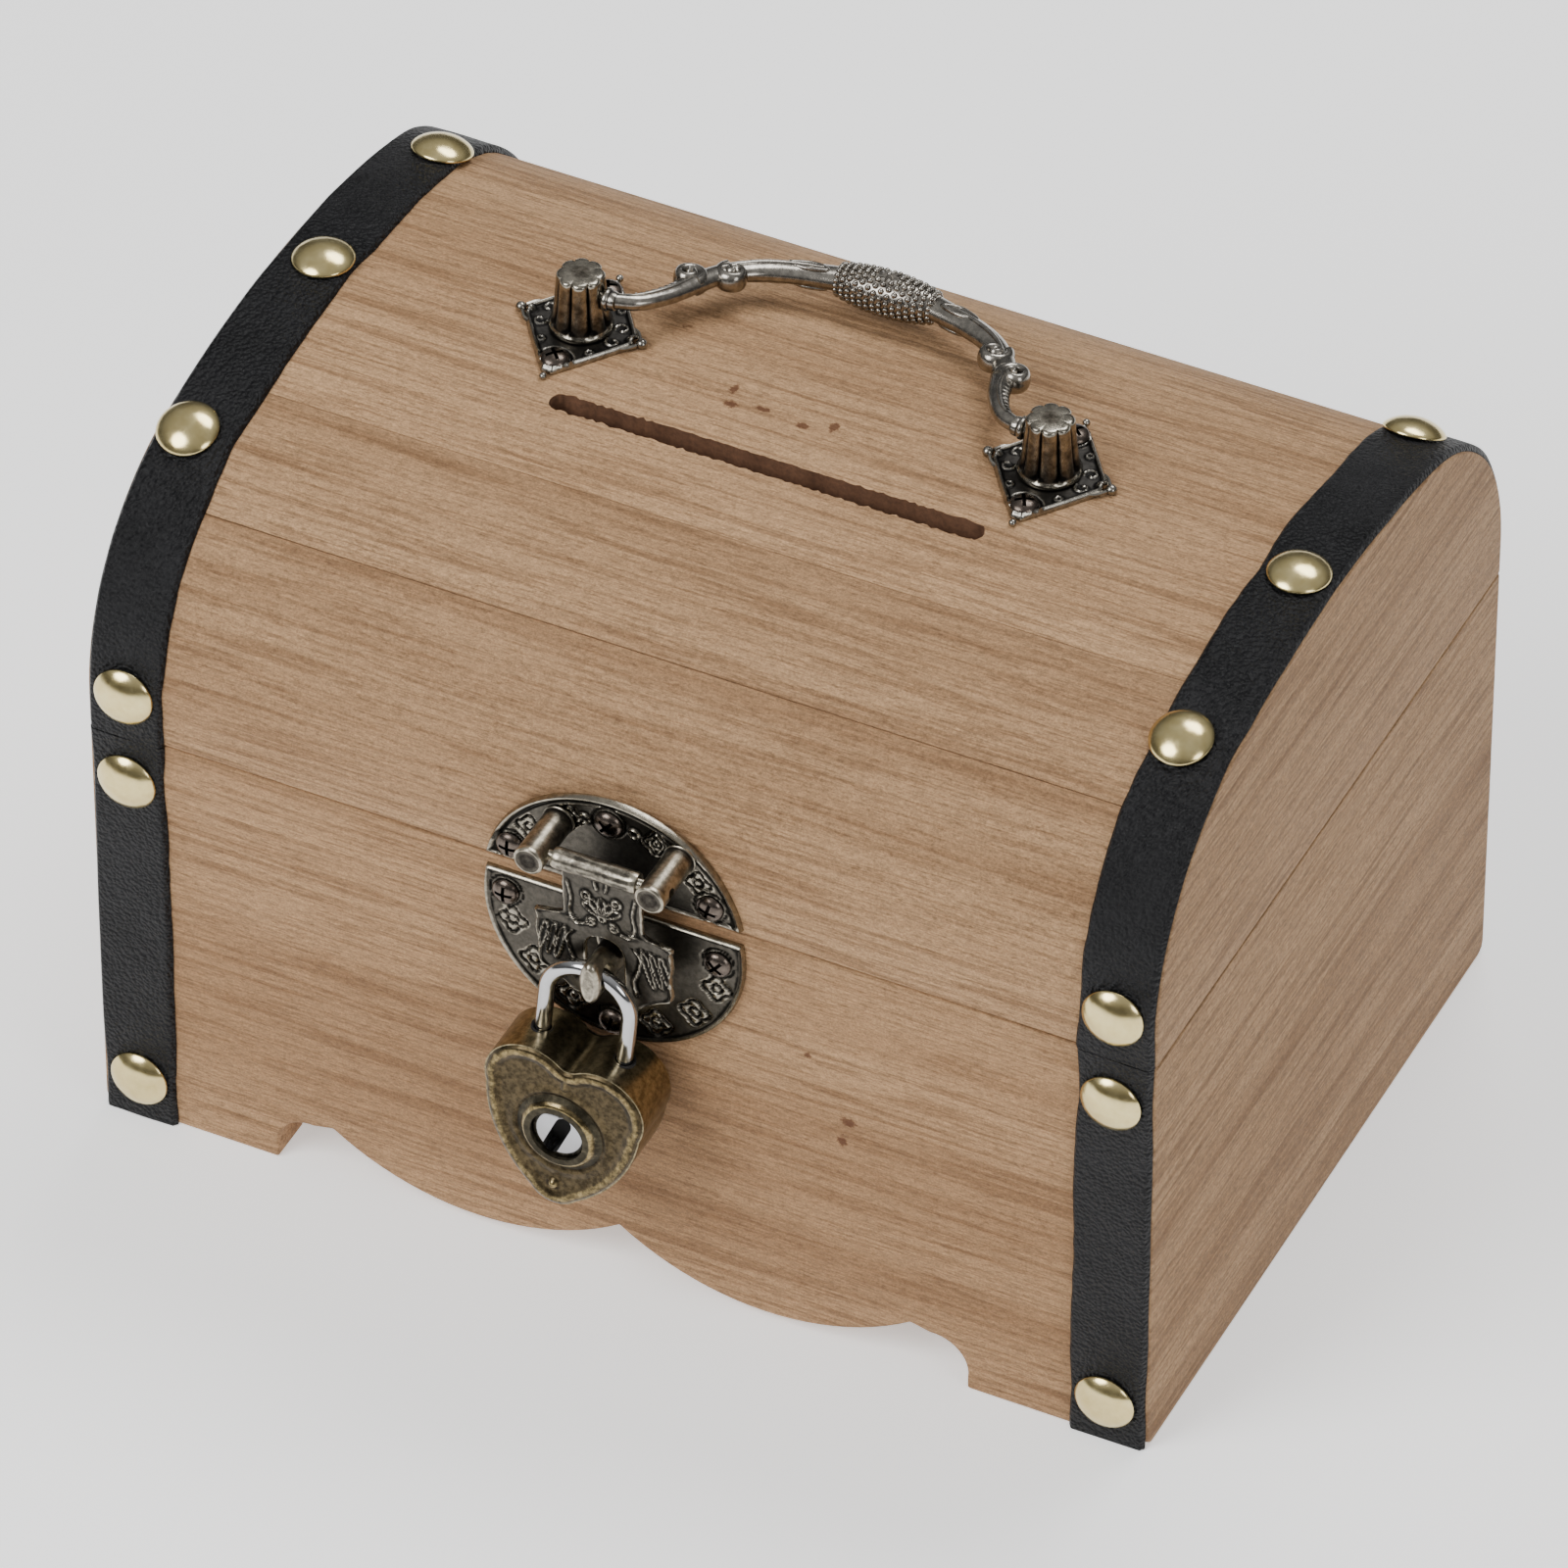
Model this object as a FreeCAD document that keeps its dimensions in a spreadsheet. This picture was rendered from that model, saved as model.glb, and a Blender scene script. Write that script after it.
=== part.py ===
import FreeCAD, Part
import math
import os
import re
from types import SimpleNamespace

# A wooden money box made as a small treasure chest: a base with shaped aprons, an arched lid
# with a coin slot, leather straps with brass tacks, a bail handle on two fluted posts, a round
# two-piece hasp plate with a swinging tongue, and a heart padlock through the staple.
#
# Frame: origin at the centre of the footprint on the surface the box stands on,
# +X along the box to its right end, +Y to the back, +Z up. Millimetres and degrees.

V = FreeCAD.Vector
X_AXIS = V(1, 0, 0)
Y_AXIS = V(0, 1, 0)
Z_AXIS = V(0, 0, 1)

doc = FreeCAD.newDocument("wooden_money_box")
sheet = doc.addObject("Spreadsheet::Sheet", "sizes")

SIZES = {
    # wooden box
    "box_length": 170, "box_depth": 120, "box_height": 117, "board": 8,
    "seam_height": 74, "seam_gap": 0.2, "edge_height": 80, "corner_radius": 34,
    "crown_joint": 25.6, "shoulder_joint": 46, "floor_thick": 3, "floor_height": 10,
    "foot_inner": 56.2, "notch_height": 9.2, "lobe_dip": 1.6, "lobe_end": 47,
    "slot_length": 69, "slot_width": 3.4, "slot_place": -11,
    # straps and tacks
    "strap_width": 12.6, "strap_thick": 1, "tack_radius": 4.75, "tack_rise": 2.3,
    "tack_shank_radius": 0.65, "tack_shank": 6,
    # back hinges
    "hinge_place": 45, "hinge_width": 20, "leaf_thick": 1, "leaf_height": 9,
    "knuckle_radius": 1.7, "hinge_pin_radius": 0.8, "running_gap": 0.05,
    # small screws
    "screw_head_radius": 2.2, "screw_head_thick": 1.2, "screw_shank_radius": 0.9,
    "screw_length": 5, "screw_clearance": 0.2,
    # handle
    "post_place": 37.4, "handle_line": 4.7, "plate_length": 18.8, "plate_depth": 24.6,
    "plate_top": 118.1, "post_base_radius": 4.5, "post_top_radius": 3.45, "post_top": 127.5,
    "rivet_radius": 1.5, "flute_radius": 1, "flute_out": 0.55, "flute_start": 0.6,
    "pivot_height": 124, "pivot_pin_radius": 1, "bail_reach": 24.9, "bail_slope": 11.5,
    "arm_radius": 1.7, "grip_radius": 3.5, "grip_half": 7.8, "grip_end_radius": 2.2,
    "bail_eye": 33, "bail_cuff_length": 2.6, "bail_pin_length": 3.8,
    # hasp
    "upper_centre": 70.9, "lower_centre": 68.2, "hasp_radius": 20.8, "hasp_thick": 1,
    "upper_plate_edge": 75, "hasp_shift": 1.2,
    "lower_plate_edge": 72.2, "lug_place": 9.6, "lug_radius": 2.35, "lug_end": 71,
    "lug_rivet_radius": 1.2,
    "hasp_pin_height": 85.5, "hasp_pin_out": 68.2, "hasp_pin_radius": 0.9,
    "tongue_barrel_radius": 1.65, "tongue_barrel_half": 6.6, "tongue_neck_half": 6.3,
    "wing_half": 11.1, "wing_top": 73, "wing_bottom": 62, "tongue_bottom": 58.5,
    "tongue_thick": 1, "tongue_hole_radius": 3, "tongue_hole_height": 68, "tongue_foot_in": 3.4,
    "staple_radius": 2.3, "eye_out": 68.4, "eye_height": 65.9, "eye_radius": 2.1,
    "staple_end": 71.4, "staple_head_thick": 3.3, "staple_head_tall": 7.6,
    "staple_head_deep": 6.2,
    # padlock, measured from the middle of the shackle's crown
    "lock_shift": 0.4, "lock_lift": 0.2, "lock_tilt": 6, "wire_radius": 1.25, "crown_radius": 6.6,
    "long_leg": 25.9, "short_leg": 18.5, "lock_half_thick": 5, "cover_thick": 1.2,
    "cleft_half": 1.4, "cleft_dip": 0.5, "lobe_radius": 7.2, "lobe_place": 5.6,
    "lobe_drop": 21.6, "lock_tip": 42.8, "bow_reach": 9.7, "bow_drop": 33.6, "toe_half": 3.6,
    "toe_rise": 1.8,
    "plug_drop": 28.4, "plug_radius": 3.7, "plug_head_radius": 4.2, "plug_head_thick": 1.6,
    "key_slot_wide": 2.4, "key_slot_tall": 6.6, "key_slot_lean": 18,
    "boss_radius": 6.9, "boss_top_radius": 5.2,
    "boss_rise": 1.3, "leg_gap": 0.1, "notch_depth": 0.7, "notch_half": 2.5,
    "latch_travel": 1.5, "spring_wire_radius": 0.2, "spring_radius": 0.75,
}

for row, (alias, value) in enumerate(SIZES.items(), start=1):
    sheet.set(f"A{row}", alias)
    sheet.set(f"B{row}", str(value))
    sheet.setAlias(f"B{row}", alias)
doc.recompute()
s = SimpleNamespace(**{alias: float(sheet.get(alias)) for alias in SIZES})

nodes = {}


# ---------------------------------------------------------------- helpers

def cells(text):
    """An expression written with plain cell names, made to point at the sheet."""
    return re.sub(r"[a-z_]{3,}", lambda word: "sizes." + word.group(0), text)


def bind(item, **expressions):
    """Bind properties of an object to expressions on the sheet."""
    for name, text in expressions.items():
        item.setExpression(name, cells(text))


def place(item, x="0", y="0", z="0", rotation=None):
    """Put an object at a place given by three expressions."""
    item.Placement = FreeCAD.Placement(V(0, 0, 0), rotation or FreeCAD.Rotation())
    for name, text in zip("xyz", (x, y, z)):
        item.setExpression(f".Placement.Base.{name}", cells(text))
    return item


def keep(name, item):
    """Register an object as a finished piece of the money box."""
    item.Label = name
    nodes[name] = item
    return item


def loop(start, *steps):
    """Closed outline. A step is an end point, or (point on the arc, end point)."""
    here = V(*start, 0)
    edges = []
    for step in steps:
        if isinstance(step[0], tuple):
            end = V(*step[1], 0)
            edges.append(Part.Arc(here, V(*step[0], 0), end))
        else:
            end = V(*step, 0)
            edges.append(Part.LineSegment(here, end))
        here = end
    if here.distanceToPoint(V(*start, 0)) > 1e-6:
        edges.append(Part.LineSegment(here, V(*start, 0)))
    return edges


def body_with_pad(label, plane, loops, length):
    """A body whose first feature is a sketch on one of its origin planes, padded."""
    body = doc.addObject("PartDesign::Body", label)
    sketch = add_sketch(body, plane, loops)
    pad = body.newObject("PartDesign::Pad", label + "_pad")
    pad.Profile = sketch
    bind(pad, Length=length)
    body.Tip = pad
    return body


def add_sketch(body, plane, loops):
    sketch = body.newObject("Sketcher::SketchObject", body.Name + "_sketch")
    support = [f for f in body.Origin.OriginFeatures if f.Role == plane][0]
    sketch.AttachmentSupport = [(support, "")]
    sketch.MapMode = "FlatFace"
    for edges in loops:
        for edge in edges:
            sketch.addGeometry(edge)
    return sketch


def cylinder(radius, height, x="0", y="0", z="0", axis=Z_AXIS):
    item = doc.addObject("Part::Cylinder", "cylinder")
    bind(item, Radius=radius, Height=height)
    return place(item, x, y, z, FreeCAD.Rotation(Z_AXIS, axis))


def block(length, width, height, x, y, z):
    item = doc.addObject("Part::Box", "block")
    bind(item, Length=length, Width=width, Height=height)
    return place(item, x, y, z)


def cut(base, *tools):
    result = base
    for tool in tools:
        step = doc.addObject("Part::Cut", "cut")
        step.Base = result
        step.Tool = tool
        result = step
    return result


def fuse(*parts):
    result = doc.addObject("Part::MultiFuse", "fuse")
    result.Shapes = list(parts)
    return result


def shape_node(name, shape, placement=None):
    """A piece whose shape is made directly from the sheet's sizes."""
    item = doc.addObject("Part::Feature", name)
    item.Shape = shape
    item.Placement = placement or FreeCAD.Placement()
    return keep(name, item)


def aimed(shape, point, direction):
    """A copy of a shape moved to a point, with its +Z turned to a direction."""
    moved = shape.copy()
    moved.Placement = FreeCAD.Placement(point, FreeCAD.Rotation(Z_AXIS, direction))
    return moved


# ---------------------------------------------------------------- the arch of the lid

HALF_DEPTH = s.box_depth / 2
ARCH_SIDE = HALF_DEPTH - s.corner_radius
ARCH_RISE = s.box_height - s.edge_height
CROWN_RADIUS = ((ARCH_SIDE**2 + ARCH_RISE**2 - s.corner_radius**2)
                / (2 * (ARCH_RISE - s.corner_radius)))
CROWN_CENTRE = s.box_height - CROWN_RADIUS
TANGENT = math.degrees(math.atan2(ARCH_SIDE, s.edge_height - CROWN_CENTRE))
CROWN_JOINT = math.degrees(math.asin(s.crown_joint / CROWN_RADIUS))
SHOULDER_JOINT = math.degrees(math.asin((s.shoulder_joint - ARCH_SIDE) / s.corner_radius))
LID_BOTTOM = s.seam_height + s.seam_gap / 2
BASE_TOP = s.seam_height - s.seam_gap / 2


def arch(angle, inset=0):
    """(y, z) where the arch's outward normal leans by angle from +Z, inset into the wood."""
    lean = math.radians(angle)
    if abs(angle) <= TANGENT:
        radius = CROWN_RADIUS - inset
        return radius * math.sin(lean), CROWN_CENTRE + radius * math.cos(lean)
    radius = s.corner_radius - inset
    side = math.copysign(ARCH_SIDE, angle)
    return side + radius * math.sin(lean), s.edge_height + radius * math.cos(lean)


def arch_run(start, end, inset=0):
    """Arc steps along the arch from one normal angle to another."""
    turn = 1 if end > start else -1
    stops = [a for a in (-TANGENT * turn, TANGENT * turn) if start * turn < a * turn < end * turn]
    angles = [start, *stops, end]
    steps = []
    for a, b in zip(angles, angles[1:]):
        # the middle is nudged off a tangent point, so that it lies on the arc between the two ends
        steps.append((arch((a + b) / 2, inset), arch(b, inset)))
    return steps


def arch_angle(y):
    """Normal angle of the arch's outer face above a given y."""
    if abs(y) <= CROWN_RADIUS * math.sin(math.radians(TANGENT)):
        return math.degrees(math.asin(y / CROWN_RADIUS))
    lean = math.degrees(math.asin((abs(y) - ARCH_SIDE) / s.corner_radius))
    return math.copysign(lean, y)


# ---------------------------------------------------------------- base woodwork

def apron_outline():
    """Front and back boards: straight feet, then a notch and two lobes that meet in a cusp."""
    half = s.box_length / 2 - s.board
    foot, top, end = s.foot_inner, s.notch_height, s.lobe_end
    rise = top / 4
    bend = (foot - 1.7, top * 0.76)
    shoulder = (foot - 6, top * 0.92)
    return loop(
        (half, 0), (foot, 0), (foot, rise), (bend, shoulder), (end, top),
        ((end / 2, s.lobe_dip), (0, top)), ((-end / 2, s.lobe_dip), (-end, top)),
        (-shoulder[0], shoulder[1]), ((-bend[0], bend[1]), (-foot, rise)),
        (-foot, 0), (-half, 0), (-half, BASE_TOP), (half, BASE_TOP),
    )


def end_outline():
    """End boards of the base, with the two bottom corners eased."""
    ease = 2
    middle = ease * (1 - math.sqrt(0.5))
    return loop(
        (-HALF_DEPTH + ease, 0), (HALF_DEPTH - ease, 0),
        ((HALF_DEPTH - middle, middle), (HALF_DEPTH, ease)),
        (HALF_DEPTH, BASE_TOP), (-HALF_DEPTH, BASE_TOP), (-HALF_DEPTH, ease),
        ((-HALF_DEPTH + middle, middle), (-HALF_DEPTH + ease, 0)),
    )


ENDS = {"left": "-box_length / 2", "right": "box_length / 2 - board"}
for side, x in ENDS.items():
    name = "base_end_" + side
    keep(name, place(body_with_pad(name, "YZ_Plane", [end_outline()], "board"), x))

for name, y in {"base_front": "-box_depth / 2 + board", "base_back": "box_depth / 2"}.items():
    keep(name, place(body_with_pad(name, "XZ_Plane", [apron_outline()], "board"), y=y))

keep("base_floor", block("box_length - 2 * board", "box_depth - 2 * board", "floor_thick",
                         "-box_length / 2 + board", "-box_depth / 2 + board", "floor_height"))


# ---------------------------------------------------------------- lid woodwork

def lid_end_outline():
    return loop((-HALF_DEPTH, LID_BOTTOM), arch(-90), *arch_run(-90, 90), (HALF_DEPTH, LID_BOTTOM))


def stave_outline(start, end):
    return loop(arch(start), *arch_run(start, end), arch(end, s.board),
                *arch_run(end, start, s.board))


def wall_stave_outline(side):
    """Lid's front (side -1) or back (side 1) stave, straight at its foot."""
    outer, inner = side * HALF_DEPTH, side * (HALF_DEPTH - s.board)
    return loop(
        (outer, LID_BOTTOM), arch(side * 90), *arch_run(side * 90, side * SHOULDER_JOINT),
        arch(side * SHOULDER_JOINT, s.board),
        *arch_run(side * SHOULDER_JOINT, side * 90, s.board), (inner, LID_BOTTOM),
    )


def slot_outline():
    half, radius, y = s.slot_length / 2 - s.slot_width / 2, s.slot_width / 2, s.slot_place
    return loop(
        (-half, y - radius), (half, y - radius), ((half + radius, y), (half, y + radius)),
        (-half, y + radius), ((-half - radius, y), (-half, y - radius)),
    )


for side, x in ENDS.items():
    name = "lid_end_" + side
    keep(name, place(body_with_pad(name, "YZ_Plane", [lid_end_outline()], "board"), x))

STAVES = {
    "lid_front": wall_stave_outline(-1),
    "lid_front_shoulder": stave_outline(-SHOULDER_JOINT, -CROWN_JOINT),
    "lid_crown": stave_outline(-CROWN_JOINT, CROWN_JOINT),
    "lid_back_shoulder": stave_outline(CROWN_JOINT, SHOULDER_JOINT),
    "lid_back": wall_stave_outline(1),
}
for name, outline in STAVES.items():
    stave = body_with_pad(name, "YZ_Plane", [outline], "box_length - 2 * board")
    place(stave, "-box_length / 2 + board")
    keep(name, stave)

slot_tool = body_with_pad("coin_slot", "XY_Plane", [slot_outline()], "box_height * 2")
keep("lid_crown", cut(nodes["lid_crown"], slot_tool))


# ---------------------------------------------------------------- straps and tacks

def lid_strap_outline():
    proud = -s.strap_thick
    outer = HALF_DEPTH + s.strap_thick
    return loop(
        (-outer, LID_BOTTOM), arch(-90, proud), *arch_run(-90, 90, proud), (outer, LID_BOTTOM),
        (HALF_DEPTH, LID_BOTTOM), arch(90), *arch_run(90, -90), (-HALF_DEPTH, LID_BOTTOM),
    )


STRAPS = {"left": "-box_length / 2", "right": "box_length / 2 - strap_width"}
for side, x in STRAPS.items():
    name = "strap_lid_" + side
    keep(name, place(body_with_pad(name, "YZ_Plane", [lid_strap_outline()], "strap_width"), x))
    for face, y in {"front": "-box_depth / 2 - strap_thick", "back": "box_depth / 2"}.items():
        name = f"strap_base_{face}_{side}"
        keep(name, block("strap_width", "strap_thick", "seam_height - seam_gap / 2",
                         x, y, "0"))


def tack():
    """Domed upholstery tack: its head's foot at the origin, its shank along -Z."""
    ball = (s.tack_radius**2 + s.tack_rise**2) / (2 * s.tack_rise)
    low = math.degrees(math.asin((ball - s.tack_rise) / ball))
    head = Part.makeSphere(ball, V(0, 0, s.tack_rise - ball), Z_AXIS, low, 90, 360)
    shank = Part.makeCylinder(s.tack_shank_radius, s.tack_shank, V(0, 0, 0), -Z_AXIS)
    return head.fuse(shank)


def lid_tack(x, angle):
    y, z = arch(angle, -s.strap_thick)
    lean = math.radians(angle)
    return aimed(tack(), V(x, y, z), V(0, math.sin(lean), math.cos(lean)))


def base_tack(x, side, z):
    return aimed(tack(), V(x, side * (HALF_DEPTH + s.strap_thick), z), V(0, side, 0))


# Each strap's tacks were set by hand: (x, y on the arch), and one near each end of the arch.
LID_TACKS = [
    (-80, -36.3), (-77.7, 1.4), (-76.4, 36.3),
    (76.9, -35.5), (79, -0.8), (77.4, 42.8),
]
LOWEST_LID_TACK = 86.5     # degrees from +Z
BASE_TACK_HEIGHTS = (66, 7.7)
TACK_LINE = 78.6

lid_tacks = [lid_tack(x, arch_angle(y)) for x, y in LID_TACKS]
lid_tacks += [lid_tack(x, angle) for x in (-TACK_LINE, TACK_LINE)
              for angle in (-LOWEST_LID_TACK, LOWEST_LID_TACK)]
shape_node("tacks_lid", Part.makeCompound(lid_tacks))
base_tacks = [base_tack(x, side, z) for x in (-TACK_LINE, TACK_LINE) for side in (-1, 1)
              for z in BASE_TACK_HEIGHTS]
shape_node("tacks_base", Part.makeCompound(base_tacks))


# ---------------------------------------------------------------- screws

def screw():
    """Cross-head screw: its head stands on the origin, its shank runs along -Z."""
    head = Part.makeCone(s.screw_head_radius, s.screw_head_radius * 0.6, s.screw_head_thick)
    shank = Part.makeCylinder(s.screw_shank_radius, s.screw_length, V(0, 0, 0), -Z_AXIS)
    arm = s.screw_head_radius * 0.9
    wide = s.screw_head_radius * 0.22
    bars = [Part.makeBox(arm, wide, 1, V(-arm / 2, -wide / 2, s.screw_head_thick * 0.5)),
            Part.makeBox(wide, arm, 1, V(-wide / 2, -arm / 2, s.screw_head_thick * 0.5))]
    return head.fuse(shank).cut(bars[0]).cut(bars[1])


def screw_group(name, points, direction):
    shape_node(name, Part.makeCompound([aimed(screw(), V(*p), direction) for p in points]))


def screw_hole(x="0", y="0", z="0", axis=Z_AXIS):
    return cylinder("screw_shank_radius + screw_clearance", "20", x, y, z, axis)


# ---------------------------------------------------------------- back hinges

HINGE_LINE = HALF_DEPTH + s.knuckle_radius
HINGES = {"left": -s.hinge_place, "right": s.hinge_place}
KNUCKLE = s.hinge_width / 3
LEAF_SCREW_SPREAD = 6
LEAF_SCREW_RISE = 6


def leaf(side, upper):
    """One hinge leaf: the lower one carries the two outer knuckles, the upper one the middle."""
    centre = HINGES[side]
    sign = 1 if upper else -1
    low = centre - s.hinge_width / 2
    gap = 0.15
    clear = s.knuckle_radius + 0.3
    sheet_z = s.seam_height + sign * clear
    plate = Part.makeBox(s.hinge_width, s.leaf_thick, s.leaf_height - clear,
                         V(low, HALF_DEPTH, min(sheet_z, sheet_z + sign * (s.leaf_height - clear))))
    spans = [(low + KNUCKLE + gap, KNUCKLE - 2 * gap)] if upper else [
        (low, KNUCKLE - gap), (low + 2 * KNUCKLE + gap, KNUCKLE - gap)]
    shape = plate
    for start, width in spans:
        barrel = Part.makeCylinder(s.knuckle_radius, width,
                                   V(start, HINGE_LINE, s.seam_height), X_AXIS)
        web = Part.makeBox(width, s.leaf_thick, clear,
                           V(start, HALF_DEPTH, min(s.seam_height, sheet_z)))
        shape = shape.fuse(barrel).fuse(web)
    bore = s.hinge_pin_radius + (s.running_gap if upper else 0)
    shape = shape.cut(Part.makeCylinder(bore, s.hinge_width * 2,
                                        V(low - s.hinge_width / 2, HINGE_LINE, s.seam_height),
                                        X_AXIS))
    for x, z in leaf_screws(side, sign):
        shape = shape.cut(Part.makeCylinder(s.screw_shank_radius + s.screw_clearance, 4,
                                            V(x, HALF_DEPTH - 1, z), Y_AXIS))
    return shape.removeSplitter()


def leaf_screws(side, sign):
    return [(HINGES[side] + offset, s.seam_height + sign * LEAF_SCREW_RISE)
            for offset in (-LEAF_SCREW_SPREAD, LEAF_SCREW_SPREAD)]


for side in HINGES:
    shape_node("hinge_base_leaf_" + side, leaf(side, False))
    shape_node("hinge_lid_leaf_" + side, leaf(side, True))

pin_length = s.hinge_width
shape_node("hinge_pins", Part.makeCompound([
    Part.makeCylinder(s.hinge_pin_radius, pin_length,
                      V(centre - pin_length / 2, HINGE_LINE, s.seam_height), X_AXIS)
    for centre in HINGES.values()]))

LEAF_FACE = HALF_DEPTH + s.leaf_thick
for name, sign in {"hinge_screws_base": -1, "hinge_screws_lid": 1}.items():
    screw_group(name, [(x, LEAF_FACE, z) for side in HINGES for x, z in leaf_screws(side, sign)],
                Y_AXIS)


# ---------------------------------------------------------------- handle

def plate_outline(centre):
    """Lozenge with hollowed sides and blunt tips."""
    half_x, half_y, y = s.plate_length / 2, s.plate_depth / 2, s.handle_line
    blunt = 0.05
    hollow = 0.525
    corners = [(half_x, 0), (0, half_y), (-half_x, 0), (0, -half_y)]
    points = []
    for (ax, ay), (bx, by) in zip(corners, corners[1:] + corners[:1]):
        start = (centre + ax + (bx - ax) * blunt, y + ay + (by - ay) * blunt)
        end = (centre + bx - (bx - ax) * blunt, y + by - (by - ay) * blunt)
        bulge = (centre + (ax + bx) * hollow, y + (ay + by) * hollow)
        points.append((start, bulge, end))
    steps = []
    for start, bulge, end in points:
        steps += [start, (bulge, end)]
    return loop(steps[0], *steps[1:])


PLATE_SCREW_SPREAD = 8.6
# the lid's wood, a little lower than the arch, hollows the underside of each plate
for side, centre in {"left": -s.post_place, "right": s.post_place}.items():
    plate = body_with_pad("plate_blank_" + side, "XY_Plane", [plate_outline(centre)], "2")
    place(plate, z="plate_top - 2")
    wood = cylinder(f"box_height - {CROWN_CENTRE}", "60",
                    str(centre - 30), z=str(CROWN_CENTRE), axis=X_AXIS)
    holes = [screw_hole(str(centre), f"handle_line + {offset}", "box_height - 5")
             for offset in (-PLATE_SCREW_SPREAD, PLATE_SCREW_SPREAD)]
    rivet = cylinder("rivet_radius", "20", str(centre), "handle_line", "box_height - 5")
    keep("handle_plate_" + side, cut(plate, wood, rivet, *holes))

FLUTES = 8
for side, centre in {"left": -s.post_place, "right": s.post_place}.items():
    cone = doc.addObject("Part::Cone", "post_cone")
    bind(cone, Radius1="post_base_radius", Radius2="post_top_radius", Height="post_top - plate_top")
    place(cone, str(centre), "handle_line", "plate_top")
    tail = cylinder("rivet_radius", "6", str(centre), "handle_line", "plate_top - 6")
    flutes = []
    for k in range(FLUTES):
        angle = math.radians(360 * (k + 0.5) / FLUTES)
        lean = V(-math.cos(angle) * (s.post_base_radius - s.post_top_radius),
                 -math.sin(angle) * (s.post_base_radius - s.post_top_radius),
                 s.post_top - s.plate_top)
        reach = s.post_base_radius + s.flute_out
        flutes.append(cylinder("flute_radius", "15", f"{centre + reach * math.cos(angle)}",
                               f"handle_line + {reach * math.sin(angle)}",
                               "plate_top + flute_start", lean))
    socket = cylinder("pivot_pin_radius + running_gap", "6",
                      str(centre - math.copysign(6, centre)), "handle_line", "pivot_height",
                      V(math.copysign(1, centre), 0, 0))
    keep("handle_post_" + side, cut(fuse(cone, tail), socket, *flutes))

screw_group("handle_screws",
            [(centre, s.handle_line + offset, s.plate_top)
             for centre in (-s.post_place, s.post_place)
             for offset in (-PLATE_SCREW_SPREAD, PLATE_SCREW_SPREAD)], Z_AXIS)


ARM_ROUTE = [(32, 0), (28.9, 1.9), (26.2, 6.4), (24.6, 11.4), (22.6, 16), (18.6, 20.2), (13.2, 23)]
KNOT = (23.4, 15)
KNOT_RADIUS = 2.9
CUFF_RADIUS = 2


def bail():
    """Cast bail: S-curved arms, a knot on each, and a barrel grip. Made flat in the X-Y plane."""
    reach, radius = s.bail_reach, s.arm_radius
    curve = Part.BSplineCurve()
    curve.interpolate([V(x, y, 0) for x, y in ARM_ROUTE] + [V(0, reach, 0)],
                      InitialTangent=V(-1, 0, 0), FinalTangent=V(-1, 0, 0))
    half, end = s.grip_half, s.grip_end_radius
    profile = Part.Wire([
        Part.Arc(V(-half, reach + end, 0), V(0, reach + s.grip_radius, 0),
                 V(half, reach + end, 0)).toShape(),
        Part.makeLine(V(half, reach + end, 0), V(half, reach, 0)),
        Part.makeLine(V(half, reach, 0), V(-half, reach, 0)),
        Part.makeLine(V(-half, reach, 0), V(-half, reach + end, 0)),
    ])
    grip = Part.Face(profile).revolve(V(0, reach, 0), X_AXIS, 360)
    parts = []
    for side in (-1, 1):
        # an arm is a run of short rods with a ball at each joint, along one smooth line
        stops = [V(side * p.x, p.y, 0) for p in curve.discretize(12)]
        for start, end in zip(stops, stops[1:]):
            parts.append(Part.makeCylinder(radius, start.distanceToPoint(end), start, end - start))
        parts += [Part.makeSphere(radius, stop) for stop in stops[1:-1]]
        eye = V(side * s.bail_eye, 0, 0)
        parts.append(Part.makeCylinder(CUFF_RADIUS, s.bail_cuff_length, eye, V(-side, 0, 0)))
        parts.append(Part.makeCylinder(s.pivot_pin_radius, s.bail_pin_length, eye, V(side, 0, 0)))
        parts.append(Part.makeSphere(KNOT_RADIUS, V(side * KNOT[0], KNOT[1], 0)))
    return grip.multiFuse(parts)


shape_node("handle_bail", bail(), FreeCAD.Placement(
    V(0, s.handle_line, s.pivot_height), FreeCAD.Rotation(X_AXIS, -s.bail_slope)))


# ---------------------------------------------------------------- hasp

def disc_segment(edge, upper):
    """Part of a round plate above or below a straight edge."""
    centre = s.upper_centre if upper else s.lower_centre
    half = math.sqrt(s.hasp_radius**2 - (edge - centre)**2)
    far = centre + (s.hasp_radius if upper else -s.hasp_radius)
    return loop((half, edge), ((0, far), (-half, edge)))


UPPER_SCREWS = [(-16.4, 77.6), (-0.6, 87.6), (15.4, 77.8)]
LOWER_SCREWS = [(-17.2, 68.4), (16.6, 67.6), (-0.3, 50)]
PLATE_FACE = "-box_depth / 2"


def hasp_plate(name, edge, upper, screws, tools):
    plate = body_with_pad(name + "_blank", "XZ_Plane", [disc_segment(edge, upper)], "hasp_thick")
    place(plate, y=PLATE_FACE)
    holes = [screw_hole(str(x), PLATE_FACE + " - 10", str(z), Y_AXIS) for x, z in screws]
    keep(name, cut(plate, *holes, *tools))


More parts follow.
